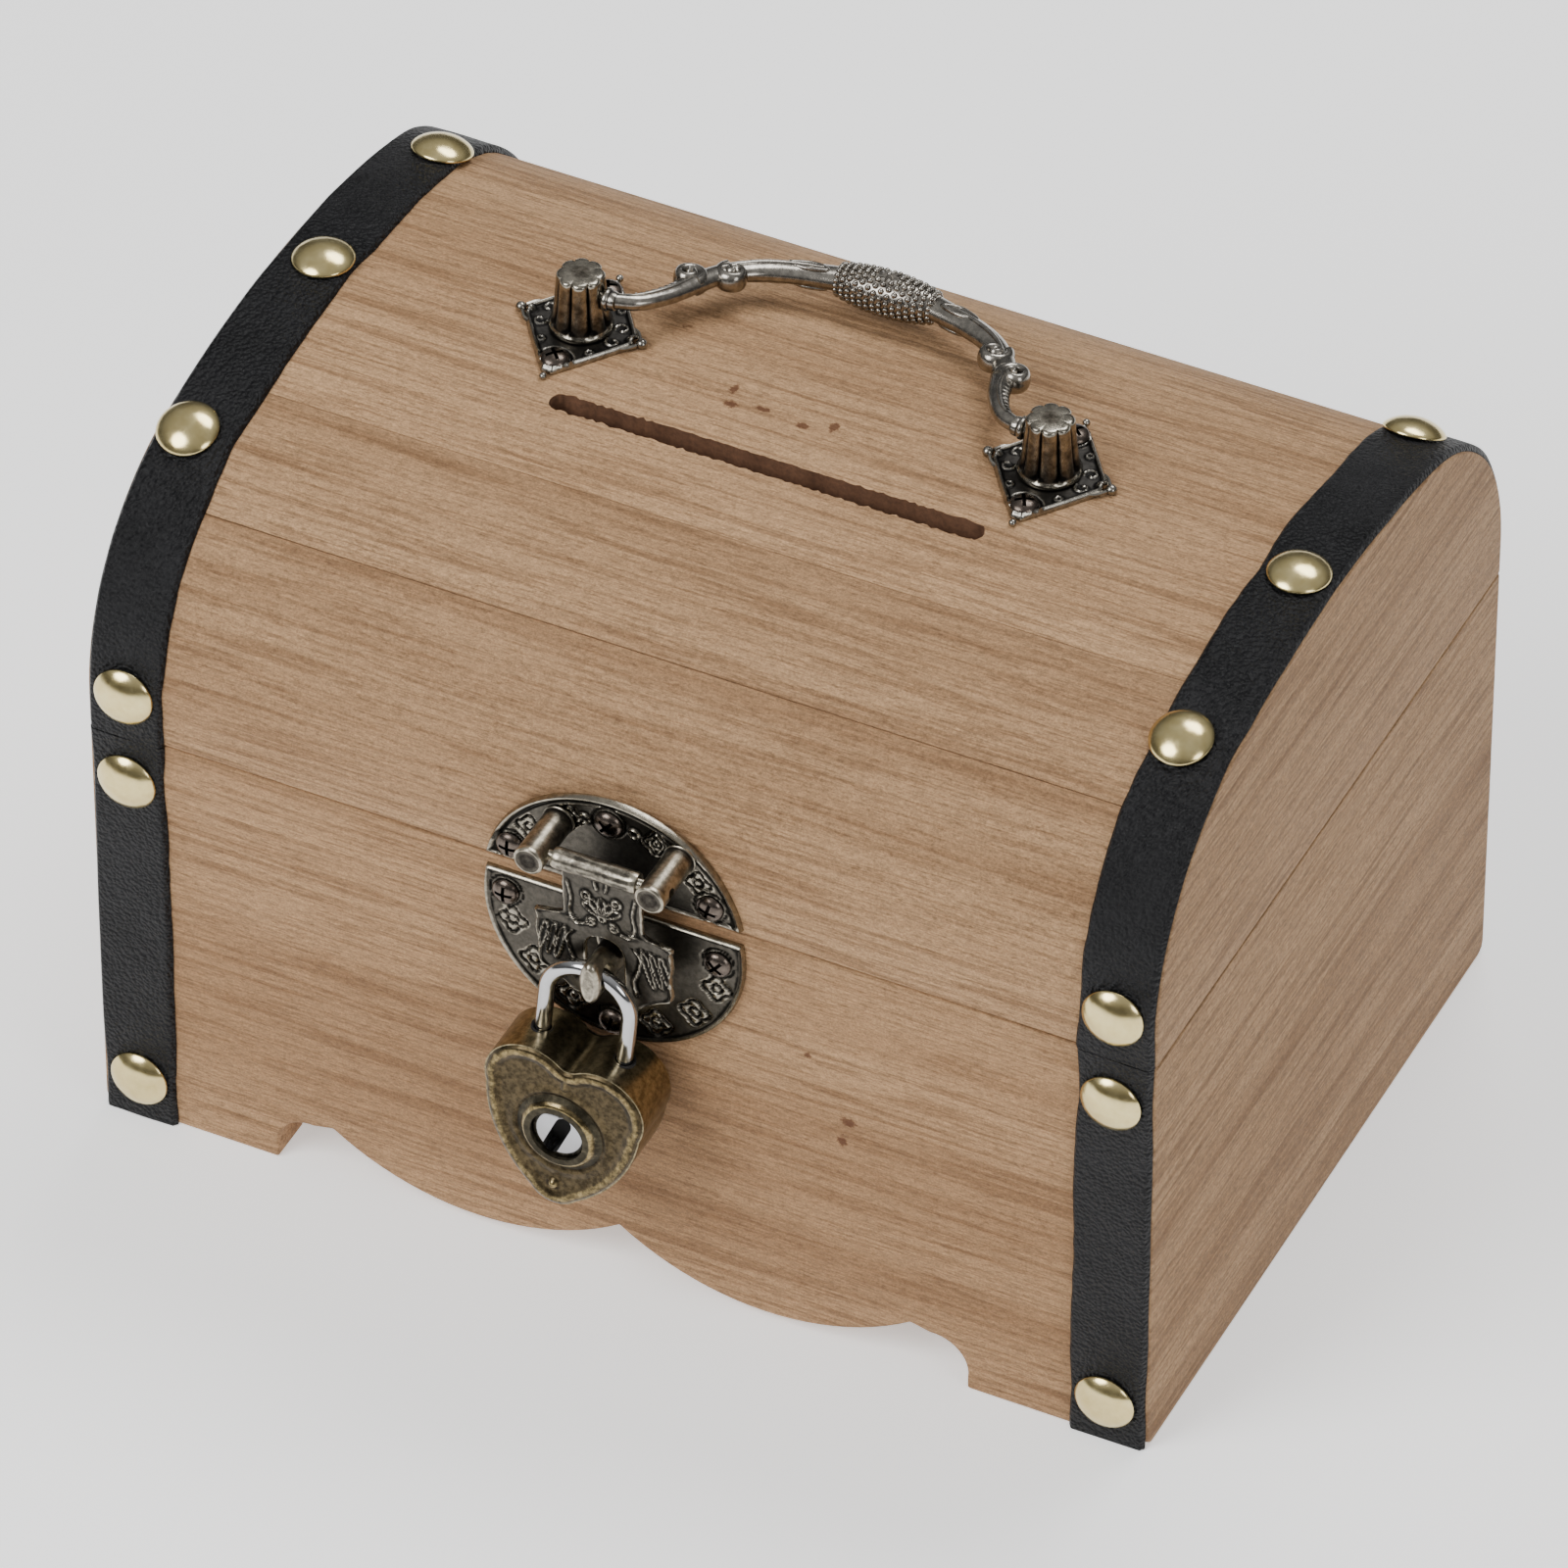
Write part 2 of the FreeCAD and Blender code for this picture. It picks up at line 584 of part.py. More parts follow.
rivets = [cylinder("lug_rivet_radius", "3", f"hasp_shift + {side} * lug_place", PLATE_FACE + " - 2",
                   "hasp_pin_height", Y_AXIS) for side in (-1, 1)]
hasp_plate("hasp_plate_upper", s.upper_plate_edge, True, UPPER_SCREWS, rivets)
staple_hole = cylinder("rivet_radius", "3", "hasp_shift", PLATE_FACE + " - 2", "eye_height",
                       Y_AXIS)
hasp_plate("hasp_plate_lower", s.lower_plate_edge, False, LOWER_SCREWS, [staple_hole])

for name, points in {"hasp_screws_upper": UPPER_SCREWS, "hasp_screws_lower": LOWER_SCREWS}.items():
    screw_group(name, [(x, -HALF_DEPTH - s.hasp_thick, z) for x, z in points], -Y_AXIS)

lugs = []
for side in (-1, 1):
    lugs.append(cylinder("lug_radius", "lug_end - box_depth / 2 - hasp_thick",
                         f"hasp_shift + {side} * lug_place", PLATE_FACE + " - hasp_thick",
                         "hasp_pin_height", -Y_AXIS))
    lugs.append(cylinder("lug_rivet_radius", "hasp_thick + 1", f"hasp_shift + {side} * lug_place",
                         PLATE_FACE, "hasp_pin_height", -Y_AXIS))
pin_tool = cylinder("hasp_pin_radius", "2 * lug_place", "hasp_shift - lug_place", "-hasp_pin_out",
                    "hasp_pin_height", X_AXIS)
keep("hasp_lugs", cut(fuse(*lugs), pin_tool))
keep("hasp_pin", cylinder("hasp_pin_radius", "2 * lug_place", "hasp_shift - lug_place",
                          "-hasp_pin_out", "hasp_pin_height", X_AXIS))


def tongue():
    """Stamped tongue: a rolled barrel, a neck, two wings and a slot open at the bottom."""
    neck, wing, bottom = s.tongue_neck_half, s.wing_half, s.tongue_bottom
    hole, top = s.tongue_hole_radius, s.tongue_hole_height
    step, draw = 0.8, 0.4
    right = [(neck, s.hasp_pin_height), (neck, s.wing_top - step), (wing, s.wing_top),
             (wing - draw, s.wing_bottom), (neck + draw, s.wing_bottom - 2), (neck - 1, bottom),
             (hole, bottom), (hole, top)]
    left = [(-x, z) for x, z in reversed(right)]
    front = loop(right[0], *right[1:], ((0, top + hole), left[0]), *left[1:])
    wires = Part.Wire([Part.Edge(e.toShape()) for e in front])
    face = Part.Face(wires)
    face.Placement = FreeCAD.Placement(V(0, -HALF_DEPTH, 0), FreeCAD.Rotation(X_AXIS, 90))
    stencil = face.extrude(V(0, -HALF_DEPTH, 0))
    back = s.hasp_pin_out - s.tongue_barrel_radius
    foot = s.hasp_pin_out - s.tongue_foot_in
    side = Part.makePolygon([
        V(-wing - 1, -back - s.tongue_thick, s.hasp_pin_height),
        V(-wing - 1, -back, s.hasp_pin_height),
        V(-wing - 1, -foot, bottom - 1),
        V(-wing - 1, -foot - s.tongue_thick, bottom - 1),
        V(-wing - 1, -back - s.tongue_thick, s.hasp_pin_height),
    ])
    plate = Part.Face(side).extrude(V(2 * wing + 2, 0, 0)).common(stencil)
    start = V(-s.tongue_barrel_half, -s.hasp_pin_out, s.hasp_pin_height)
    barrel = Part.makeCylinder(s.tongue_barrel_radius, 2 * s.tongue_barrel_half, start, X_AXIS)
    bore = Part.makeCylinder(s.hasp_pin_radius + s.running_gap, 4 * wing,
                             V(-2 * wing, -s.hasp_pin_out, s.hasp_pin_height), X_AXIS)
    return plate.fuse(barrel).cut(bore).removeSplitter()


shape_node("hasp_tongue", tongue(),
           FreeCAD.Placement(V(s.hasp_shift, 0, 0), FreeCAD.Rotation()))

# the rod ends a little way inside the head
staple_rod = cylinder("staple_radius",
                      "staple_end - staple_head_deep + 0.4 - box_depth / 2 - hasp_thick",
                      "hasp_shift", PLATE_FACE + " - hasp_thick", "eye_height", -Y_AXIS)
staple_tail = cylinder("rivet_radius", "hasp_thick + 1", "hasp_shift", PLATE_FACE, "eye_height",
                       -Y_AXIS)
head_block = block("staple_head_thick", "staple_head_deep", "staple_head_tall",
                   "hasp_shift - staple_head_thick / 2", "-staple_end",
                   "eye_height - staple_head_tall / 2")
eye = cylinder("eye_radius", "20", "-10", "-eye_out", "eye_height", X_AXIS)
keep("hasp_staple", cut(fuse(staple_rod, staple_tail, head_block), eye))


# ---------------------------------------------------------------- padlock
# Made in its own frame: the origin is the middle of the wire at the top of the crown,
# -Z down to the tip, -Y to the front. It hangs a little askew in the staple's eye.

LOCK = FreeCAD.Placement(V(s.lock_shift, -s.eye_out, s.eye_height + s.lock_lift),
                         FreeCAD.Rotation(Y_AXIS, s.lock_tilt))
FRONT = -s.lock_half_thick
COVER_FACE = s.lock_half_thick - s.cover_thick
LATCH_DROP = s.long_leg - 2.6
LATCH_NOSE = s.crown_radius - s.wire_radius + 0.55


def heart_outline(shrink=0):
    """Two round lobes and two bowed sides that meet in a blunt tip."""
    x, z, radius = s.lobe_place, -s.lobe_drop, s.lobe_radius - shrink
    lean = math.radians(20)
    cleft = (s.cleft_half, z + math.sqrt(radius**2 - (x - s.cleft_half) ** 2))
    dip = (0, cleft[1] - s.cleft_dip)
    crest = (x, z + radius)
    flank = (x + radius * math.cos(lean), z - radius * math.sin(lean))
    slant = 0.6 * shrink
    bow = (s.bow_reach - shrink, -s.bow_drop + slant)
    toe = (s.toe_half - slant, -s.lock_tip + s.toe_rise + shrink)

    def mirror(point):
        return (-point[0], point[1])

    outer = (x + radius, z)
    return loop(
        cleft, (crest, outer),
        ((x + radius * math.cos(lean / 2), z - radius * math.sin(lean / 2)), flank), (bow, toe),
        ((0, -s.lock_tip + shrink), mirror(toe)), (mirror(bow), mirror(flank)),
        (mirror((x + radius * math.cos(lean / 2), z - radius * math.sin(lean / 2))), mirror(outer)),
        (mirror(crest), mirror(cleft)), (dip, cleft),
    )


def heart_solid(near, far, shrink=0):
    """Heart outline made solid between two depths."""
    face = Part.Face(Part.Wire([Part.Edge(e.toShape()) for e in heart_outline(shrink)]))
    face.Placement = FreeCAD.Placement(V(0, near, 0), FreeCAD.Rotation(X_AXIS, 90))
    return face.extrude(V(0, far - near, 0))


def shackle():
    """Round wire bent into an arch, with a shallow notch in its long leg."""
    radius, bend = s.wire_radius, s.crown_radius
    crown = Part.makeTorus(bend, radius, V(0, 0, -bend), Y_AXIS).common(
        Part.makeBox(40, 40, 40, V(-20, -20, -bend)))
    long_leg = Part.makeCylinder(radius, s.long_leg - bend, V(bend, 0, -bend), -Z_AXIS)
    short_leg = Part.makeCylinder(radius, s.short_leg - bend, V(-bend, 0, -bend), -Z_AXIS)
    inner = bend - radius
    tooth = Part.makePolygon([
        V(inner - 1, -3, -LATCH_DROP - s.notch_half), V(inner, -3, -LATCH_DROP - s.notch_half),
        V(inner + s.notch_depth, -3, -LATCH_DROP), V(inner, -3, -LATCH_DROP + s.notch_half),
        V(inner - 1, -3, -LATCH_DROP + s.notch_half), V(inner - 1, -3, -LATCH_DROP - s.notch_half),
    ])
    notch = Part.Face(tooth).extrude(V(0, 6, 0))
    return crown.fuse(long_leg).fuse(short_leg).cut(notch).removeSplitter()


def leg_bores():
    """Round holes for the two legs, the long leg's deeper than the short one's."""
    radius, top = s.wire_radius + s.leg_gap, -10
    return [Part.makeCylinder(radius, s.long_leg + 1 + top, V(s.crown_radius, 0, top), -Z_AXIS),
            Part.makeCylinder(radius, s.short_leg + 1 + top, V(-s.crown_radius, 0, top), -Z_AXIS)]


LATCH_HALF_DEPTH = 1.1
LATCH_HALF_TALL = 1.2
CAM_REACH = s.latch_travel / 2
LATCH_TAIL = -2.6
CAVITY_LEFT = -6.2
CAVITY_RIGHT = 4.8
CAVITY_FOOT = 3.2
SLIDE_GAP = 0.3
END_PLAY = 0.2
PLUG_BACK = 1.4
PLUG_FACE = FRONT - s.boss_rise + 0.2
KEY_SLOT_DEEP = 3
CAM_RADIUS = 0.5
CAM_LENGTH = 1.2
HANGER_WIDE = 3.4
HANGER_THICK = 1
WINDOW_WIDE = 1.3
WINDOW_TALL = 2.2


def latch():
    """Sliding bolt: a blunt nose for the shackle's notch, and a tall eye round the cam pin."""
    z = -LATCH_DROP
    blunt, flat = 0.35, 0.3
    nose = Part.makePolygon([
        V(LATCH_TAIL, -LATCH_HALF_DEPTH, z - LATCH_HALF_TALL),
        V(LATCH_NOSE - blunt, -LATCH_HALF_DEPTH, z - LATCH_HALF_TALL),
        V(LATCH_NOSE, -LATCH_HALF_DEPTH, z - flat), V(LATCH_NOSE, -LATCH_HALF_DEPTH, z + flat),
        V(LATCH_NOSE - blunt, -LATCH_HALF_DEPTH, z + LATCH_HALF_TALL),
        V(LATCH_TAIL, -LATCH_HALF_DEPTH, z + LATCH_HALF_TALL),
        V(LATCH_TAIL, -LATCH_HALF_DEPTH, z - LATCH_HALF_TALL),
    ])
    bolt = Part.Face(nose).extrude(V(0, 2 * LATCH_HALF_DEPTH, 0))
    low = -s.plug_drop - CAM_REACH * 1.5
    left = CAM_REACH - HANGER_WIDE / 2
    hanger = Part.makeBox(HANGER_WIDE, HANGER_THICK, z - low + 1.2,
                          V(left, LATCH_HALF_DEPTH + 0.6, low - 1.2))
    neck = Part.makeBox(HANGER_WIDE, 0.8, 2 * LATCH_HALF_TALL,
                        V(left, LATCH_HALF_DEPTH - 0.1, z - LATCH_HALF_TALL))
    window = Part.makeBox(WINDOW_WIDE, 4 * HANGER_THICK, WINDOW_TALL,
                          V(CAM_REACH - WINDOW_WIDE / 2, 0, low - CAM_REACH))
    return bolt.fuse(neck).fuse(hanger).cut(window).removeSplitter()


def plug():
    """Round core with a key slot, and an off-centre cam pin at its back."""
    z = -s.plug_drop
    core = Part.makeCylinder(s.plug_radius, PLUG_BACK - PLUG_FACE, V(0, PLUG_FACE, z), Y_AXIS)
    head = Part.makeCylinder(s.plug_head_radius, s.plug_head_thick, V(0, PLUG_FACE, z), Y_AXIS)
    wide, tall = s.key_slot_wide, s.key_slot_tall
    slot = Part.makeBox(wide, KEY_SLOT_DEEP, tall, V(-wide / 2, PLUG_FACE, -tall / 2))
    slot.Placement = FreeCAD.Placement(V(0, 0, z), FreeCAD.Rotation(Y_AXIS, s.key_slot_lean))
    cam = Part.makeCylinder(CAM_RADIUS, CAM_LENGTH, V(CAM_REACH, PLUG_BACK, z - CAM_REACH), Y_AXIS)
    return core.fuse(head).cut(slot).fuse(cam)


def case():
    """Heart case with a raised boss, bored for the plug and legs, hollowed behind for the latch."""
    body = heart_solid(FRONT, COVER_FACE)
    boss = Part.makeCone(s.boss_radius, s.boss_top_radius, s.boss_rise,
                         V(0, FRONT, -s.plug_drop), -Y_AXIS)
    body = body.fuse(boss)
    bore = Part.makeCylinder(s.plug_radius + s.running_gap, 10 - FRONT + PLUG_BACK + END_PLAY,
                             V(0, FRONT - 10, -s.plug_drop), Y_AXIS)
    head_end = PLUG_FACE + s.plug_head_thick + s.running_gap
    counterbore = Part.makeCylinder(s.plug_head_radius + s.running_gap, 10,
                                    V(0, head_end - 10, -s.plug_drop), Y_AXIS)
    half_tall, half_deep = LATCH_HALF_TALL + SLIDE_GAP, LATCH_HALF_DEPTH + SLIDE_GAP
    top, bottom = -LATCH_DROP + half_tall, -s.plug_drop - CAVITY_FOOT
    rear = Part.makeBox(CAVITY_RIGHT - CAVITY_LEFT, COVER_FACE - PLUG_BACK, top - bottom,
                        V(CAVITY_LEFT, PLUG_BACK, bottom))
    channel = Part.makeBox(s.crown_radius - CAVITY_LEFT, 2 * half_deep, 2 * half_tall,
                           V(CAVITY_LEFT, -half_deep, -LATCH_DROP - half_tall))
    for tool in [bore, counterbore, rear, channel, *leg_bores()]:
        body = body.cut(tool)
    return body


def coil():
    """Short compression coil that pushes the latch towards the notch."""
    start, end = CAVITY_LEFT + 0.05, LATCH_TAIL - 0.05
    turns = 4
    length = end - start - 2 * s.spring_wire_radius
    helix = Part.makeHelix(length / turns, length, s.spring_radius)
    ring = Part.Wire([Part.makeCircle(s.spring_wire_radius, V(s.spring_radius, 0, 0), Y_AXIS)])
    wire = Part.Wire(helix).makePipeShell([ring], True, True)
    wire.Placement = FreeCAD.Placement(V(start + s.spring_wire_radius, 0, -LATCH_DROP),
                                       FreeCAD.Rotation(Z_AXIS, X_AXIS))
    return Part.makeCompound([wire])


def rear_cover():
    """Pressed-in back cover of the case."""
    return heart_solid(COVER_FACE, s.lock_half_thick, 0.5)


shape_node("padlock_shackle", shackle(), LOCK)
shape_node("padlock_case", case(), LOCK)
shape_node("padlock_cover", rear_cover(), LOCK)
shape_node("padlock_plug", plug(), LOCK)
shape_node("padlock_latch", latch(), LOCK)
shape_node("padlock_spring", coil(), LOCK)


# ---------------------------------------------------------------- check and write

doc.recompute()
for item in doc.Objects:
    if {"Invalid", "Error"} & set(item.State):
        raise RuntimeError(f"{item.Label} did not compute")
for name, item in nodes.items():
    if item.Shape.isNull() or not item.Shape.isValid() or not item.Shape.Solids:
        raise RuntimeError(f"{name} has no valid solid")

os.makedirs("parts", exist_ok=True)
for name, item in nodes.items():
    item.Shape.exportStep(f"parts/{name}.step")
print(f"{len(nodes)} parts written")
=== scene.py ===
import math
import random

import bmesh
import bpy
import numpy as np
from mathutils import Matrix, Vector, noise


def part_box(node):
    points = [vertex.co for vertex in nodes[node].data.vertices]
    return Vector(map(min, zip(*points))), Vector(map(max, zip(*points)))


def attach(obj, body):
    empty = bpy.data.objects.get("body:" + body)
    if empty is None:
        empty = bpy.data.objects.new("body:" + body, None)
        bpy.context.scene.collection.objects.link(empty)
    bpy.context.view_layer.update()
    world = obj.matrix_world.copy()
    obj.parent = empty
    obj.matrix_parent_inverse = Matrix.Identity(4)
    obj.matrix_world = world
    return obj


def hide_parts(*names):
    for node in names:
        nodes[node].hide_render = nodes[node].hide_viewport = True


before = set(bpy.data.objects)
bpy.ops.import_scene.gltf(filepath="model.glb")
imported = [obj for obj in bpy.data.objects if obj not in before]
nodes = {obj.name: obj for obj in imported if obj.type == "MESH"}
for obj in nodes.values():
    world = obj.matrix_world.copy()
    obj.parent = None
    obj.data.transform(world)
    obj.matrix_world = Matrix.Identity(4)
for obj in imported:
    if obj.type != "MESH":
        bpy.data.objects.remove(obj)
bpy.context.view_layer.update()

MM = 0.001
X_AXIS = Vector((1, 0, 0))
Z_AXIS = Vector((0, 0, 1))
SIDES = (("left", -1), ("right", 1))

# ---------------------------------------------------------------- sizes, in millimetres
# Shapes are written in millimetres in the frame of the box and scaled once, when a mesh is made.


def box_mm(node):
    """Lowest and highest corner of a CAD node."""
    low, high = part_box(node)
    return low / MM, high / MM


HALF_LENGTH, HALF_DEPTH, BASE_TOP = box_mm("base_end_right")[1]
LID_BOTTOM = box_mm("lid_end_right")[0].z
LID_TOP = box_mm("lid_end_right")[1].z
EDGE_HEIGHT = 80
CORNER_RADIUS = 34
ARCH_SIDE = HALF_DEPTH - CORNER_RADIUS
ARCH_RISE = LID_TOP - EDGE_HEIGHT
CROWN_RADIUS = ((ARCH_SIDE**2 + ARCH_RISE**2 - CORNER_RADIUS**2)
                / (2 * (ARCH_RISE - CORNER_RADIUS)))
CROWN_CENTRE = LID_TOP - CROWN_RADIUS
TANGENT = math.degrees(math.atan2(ARCH_SIDE, EDGE_HEIGHT - CROWN_CENTRE))
STRAP_WIDTH = 12.6
STRAP_THICK = 1.0


def arch(angle, proud=0):
    """(y, z) on the lid's outline where its outward normal leans by angle from +Z."""
    lean = math.radians(angle)
    if abs(angle) <= TANGENT:
        radius = CROWN_RADIUS + proud
        return radius * math.sin(lean), CROWN_CENTRE + radius * math.cos(lean)
    radius = CORNER_RADIUS + proud
    side = math.copysign(ARCH_SIDE, angle)
    return side + radius * math.sin(lean), EDGE_HEIGHT + radius * math.cos(lean)


def arch_angle(y):
    """Normal angle of the lid's outline above a given y."""
    if abs(y) <= CROWN_RADIUS * math.sin(math.radians(TANGENT)):
        return math.degrees(math.asin(y / CROWN_RADIUS))
    return math.copysign(math.degrees(math.asin((abs(y) - ARCH_SIDE) / CORNER_RADIUS)), y)


# ---------------------------------------------------------------- mesh building

WELD = 1e-6     # metres


def linked(name, data):
    """A new object in the scene."""
    item = bpy.data.objects.new(name, data)
    bpy.context.scene.collection.objects.link(item)
    return item


def present(name, mesh, body, replaced, sharp):
    """Makes a tidied mesh one visible piece that moves with a body."""
    tidy(mesh, sharp)
    piece = linked(name, mesh)
    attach(piece, body)
    if replaced:
        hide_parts(*replaced)
    return piece


class Shape:
    """Collects vertices and faces in millimetres, then makes one object in metres."""

    def __init__(self):
        self.verts = []
        self.faces = []
        self.slots = []

    def add(self, verts, faces, matrix=None):
        start = len(self.verts)
        self.verts += [matrix @ Vector(v) if matrix else Vector(v) for v in verts]
        self.faces += [[start + i for i in face] for face in faces]
        self.slots += [0] * len(faces)

    def merge(self, other, matrix=None):
        slots = self.slots + other.slots
        self.add(other.verts, other.faces, matrix)
        self.slots = slots

    def make(self, name, materials, body, slot, replaced=(), sharp=38, matrix=None):
        mesh = bpy.data.meshes.new(name)
        points = [matrix @ v if matrix else v for v in self.verts]
        mesh.from_pydata([p * MM for p in points], [], self.faces)
        for material in materials if isinstance(materials, list) else [materials]:
            mesh.materials.append(material)
        mesh.polygons.foreach_set("material_index", self.slots)
        return present(name, mesh, body, replaced, sharp)


def tidy(mesh, sharp):
    """Weld, turn normals outwards, shade smooth below the sharp angle and note the worn parts."""
    work = bmesh.new()
    work.from_mesh(mesh)
    bmesh.ops.remove_doubles(work, verts=work.verts, dist=WELD)
    bmesh.ops.dissolve_degenerate(work, edges=work.edges, dist=WELD / 10)
    bmesh.ops.recalc_face_normals(work, faces=work.faces)
    work.to_mesh(mesh)
    mesh.update()
    mesh.shade_smooth()
    mesh.set_sharp_from_angle(angle=math.radians(sharp))
    work.free()
    layer = mesh.attributes.new("wear", "FLOAT", "POINT")
    layer.data.foreach_set("value", wear(mesh))


def wear(mesh):
    """How far each point stands out from its surroundings: 1 on a ridge, 0 in a hollow."""
    reach, rounds = 0.10, 7
    count = len(mesh.vertices)
    points = np.zeros(count * 3)
    mesh.vertices.foreach_get("co", points)
    points = points.reshape(-1, 3)
    normals = np.zeros(count * 3)
    mesh.vertices.foreach_get("normal", normals)
    edges = np.zeros(len(mesh.edges) * 2, dtype=int)
    mesh.edges.foreach_get("vertices", edges)
    one, two = edges.reshape(-1, 2).T
    near = np.bincount(edges, minlength=count).clip(1)[:, None]
    soft = points.copy()
    for _ in range(rounds):
        total = np.zeros_like(soft)
        np.add.at(total, one, soft[two])
        np.add.at(total, two, soft[one])
        soft = 0.5 * soft + 0.5 * total / near
    out = ((points - soft) * normals.reshape(-1, 3)).sum(1) / (reach * MM)
    return 0.5 + 0.5 * np.clip(out, -1, 1)


def stand(point, direction, spin=0):
    """Matrix that puts the origin at a point and turns +Z to a direction."""
    turn = Vector(direction).to_track_quat("Z", "Y").to_matrix().to_4x4()
    return Matrix.Translation(Vector(point)) @ turn @ Matrix.Rotation(spin, 4, "Z")


def rings(rows, caps=(True, True)):
    """Faces between equal rounds of points, with flat caps on the first and the last if wanted."""
    count = len(rows[0])
    last = (len(rows) - 1) * count
    verts = [p for row in rows for p in row]
    faces = []
    for r in range(0, last, count):
        for i in range(count):
            j = (i + 1) % count
            faces.append([r + i, r + j, r + count + j, r + count + i])
    if caps[0]:
        faces.append(list(range(count))[::-1])
    if caps[1]:
        faces.append([last + i for i in range(count)])
    return verts, faces


def lathe(profile, segments, wobble=None):
    """Surface of revolution about +Z from (radius, height) points; ends on the axis are closed."""
    rows = []
    for radius, height in profile:
        row = []
        for k in range(segments):
            angle = 2 * math.pi * k / segments
            r = radius * (wobble(angle, height) if wobble else 1)
            row.append(Vector((r * math.cos(angle), r * math.sin(angle), height)))
        rows.append(row)
    return rings(rows)


def tube(points, radius, segments, closed=False, normal=None):
    """Tube along points. radius is a number, or a function of 0..1 along it that may give a pair."""
    points = [Vector(p) for p in points]
    count = len(points)
    rows = []
    side = None
    for i, point in enumerate(points):
        before = points[i - 1] if i or closed else point
        after = points[(i + 1) % count] if i < count - 1 or closed else point
        along = (after - before).normalized()
        if normal is not None:
            up = (normal - along * normal.dot(along)).normalized()
        else:
            guess = side or (Z_AXIS if abs(along.z) < 0.9 else X_AXIS)
            up = (guess - along * guess.dot(along)).normalized()
            side = up
        across = along.cross(up)
        r = radius(i / max(count - 1, 1)) if callable(radius) else radius
        a, b = r if isinstance(r, tuple) else (r, r)
        rows.append([point + across * (a * math.cos(t)) + up * (b * math.sin(t))
                     for t in (2 * math.pi * k / segments for k in range(segments))])
    if closed:
        rows.append(rows[0])
    return rings(rows, (not closed, not closed))


def ball(radius, centre, squash=(1, 1, 1), rows=8, segments=14):
    """Ball of latitude rows, or an egg where squash stretches it."""
    turns = [math.pi * i / rows for i in range(rows + 1)]
    verts, faces = lathe([(radius * math.sin(t), -radius * math.cos(t)) for t in turns], segments)
    stretch = Vector(squash)
    return [v * stretch + Vector(centre) for v in verts], faces


def smooth_line(points, steps, closed=False):
    """Catmull-Rom curve through a few points."""
    points = [Vector(p) if len(p) == 3 else Vector((*p, 0)) for p in points]
    count = len(points)
    out = []
    for i in range(count if closed else count - 1):
        if closed:
            a, b, c, d = (points[(i + k) % count] for k in (-1, 0, 1, 2))
        else:
            b, c = points[i], points[i + 1]
            a = points[i - 1] if i else b * 2 - c
            d = points[i + 2] if i + 2 < count else c * 2 - b
        for k in range(steps):
            t = k / steps
            out.append(0.5 * ((2 * b) + (c - a) * t + (2 * a - 5 * b + 4 * c - d) * t * t
                              + (3 * b - a - 3 * c + d) * t**3))
    if not closed:
        out.append(points[-1])
    return out


def subtract(shape, tool):
    """Boolean difference of two closed shapes, in millimetres."""
    objects = []
    for part in (shape, tool):
        mesh = bpy.data.meshes.new("cut")
        mesh.from_pydata(part.verts, [], part.faces)
        work = bmesh.new()
        work.from_mesh(mesh)
        bmesh.ops.remove_doubles(work, verts=work.verts, dist=1e-5)
        bmesh.ops.recalc_face_normals(work, faces=work.faces)
        work.to_mesh(mesh)
        work.free()
        objects.append(linked("cut", mesh))
    cutter = objects[0].modifiers.new("difference", "BOOLEAN")
    cutter.object = objects[1]
    cutter.solver = "EXACT"
    bpy.context.view_layer.update()
    graph = bpy.context.evaluated_depsgraph_get()
    result = bpy.data.meshes.new_from_object(objects[0].evaluated_get(graph))
    out = Shape()
    out.add([v.co.copy() for v in result.vertices], [list(p.vertices) for p in result.polygons])
    for item in objects:
        bpy.data.objects.remove(item)
    bpy.data.meshes.remove(result)
    return out


def softened(node, material, width, body, segments=2, sharp=40):
    """A copy of a CAD piece with its hard edges eased, standing for it."""
    flat, corner = math.radians(0.5), math.radians(30)
    mesh = nodes[node].data.copy()
    mesh.name = node + "_eased"
    work = bmesh.new()
    work.from_mesh(mesh)
    bmesh.ops.remove_doubles(work, verts=work.verts, dist=WELD)
    bmesh.ops.dissolve_limit(work, angle_limit=flat, verts=work.verts, edges=work.edges)
    edges = [e for e in work.edges if e.is_manifold and e.calc_face_angle(0) > corner]
    bmesh.ops.bevel(work, geom=edges, offset=width * MM, segments=segments, profile=0.6,
                    affect="EDGES", clamp_overlap=True)
    work.to_mesh(mesh)
    work.free()
    mesh.materials.clear()
    mesh.materials.append(material)
    mesh.polygons.foreach_set("material_index", [0] * len(mesh.polygons))
    return present(mesh.name, mesh, body, (node,), sharp)


# ---------------------------------------------------------------- materials

def new_material(name):
    """A material with its node tree and its shader."""
    material = bpy.data.materials.new(name)
    material.use_nodes = True
    return material, material.node_tree, material.node_tree.nodes["Principled BSDF"]


def feed(tree, item, inputs):
    """Fills a shader node's inputs, each with a value or with a link from another node."""
    for key, value in inputs.items():
        if isinstance(value, bpy.types.NodeSocket):
            tree.links.new(value, item.inputs[key])
        else:
            item.inputs[key].default_value = value


def node(tree, kind, inputs, **settings):
    """A shader node with its inputs and settings filled in."""
    item = tree.nodes.new(kind)
    for key, value in settings.items():
        setattr(item, key, value)
    feed(tree, item, inputs)
    return item


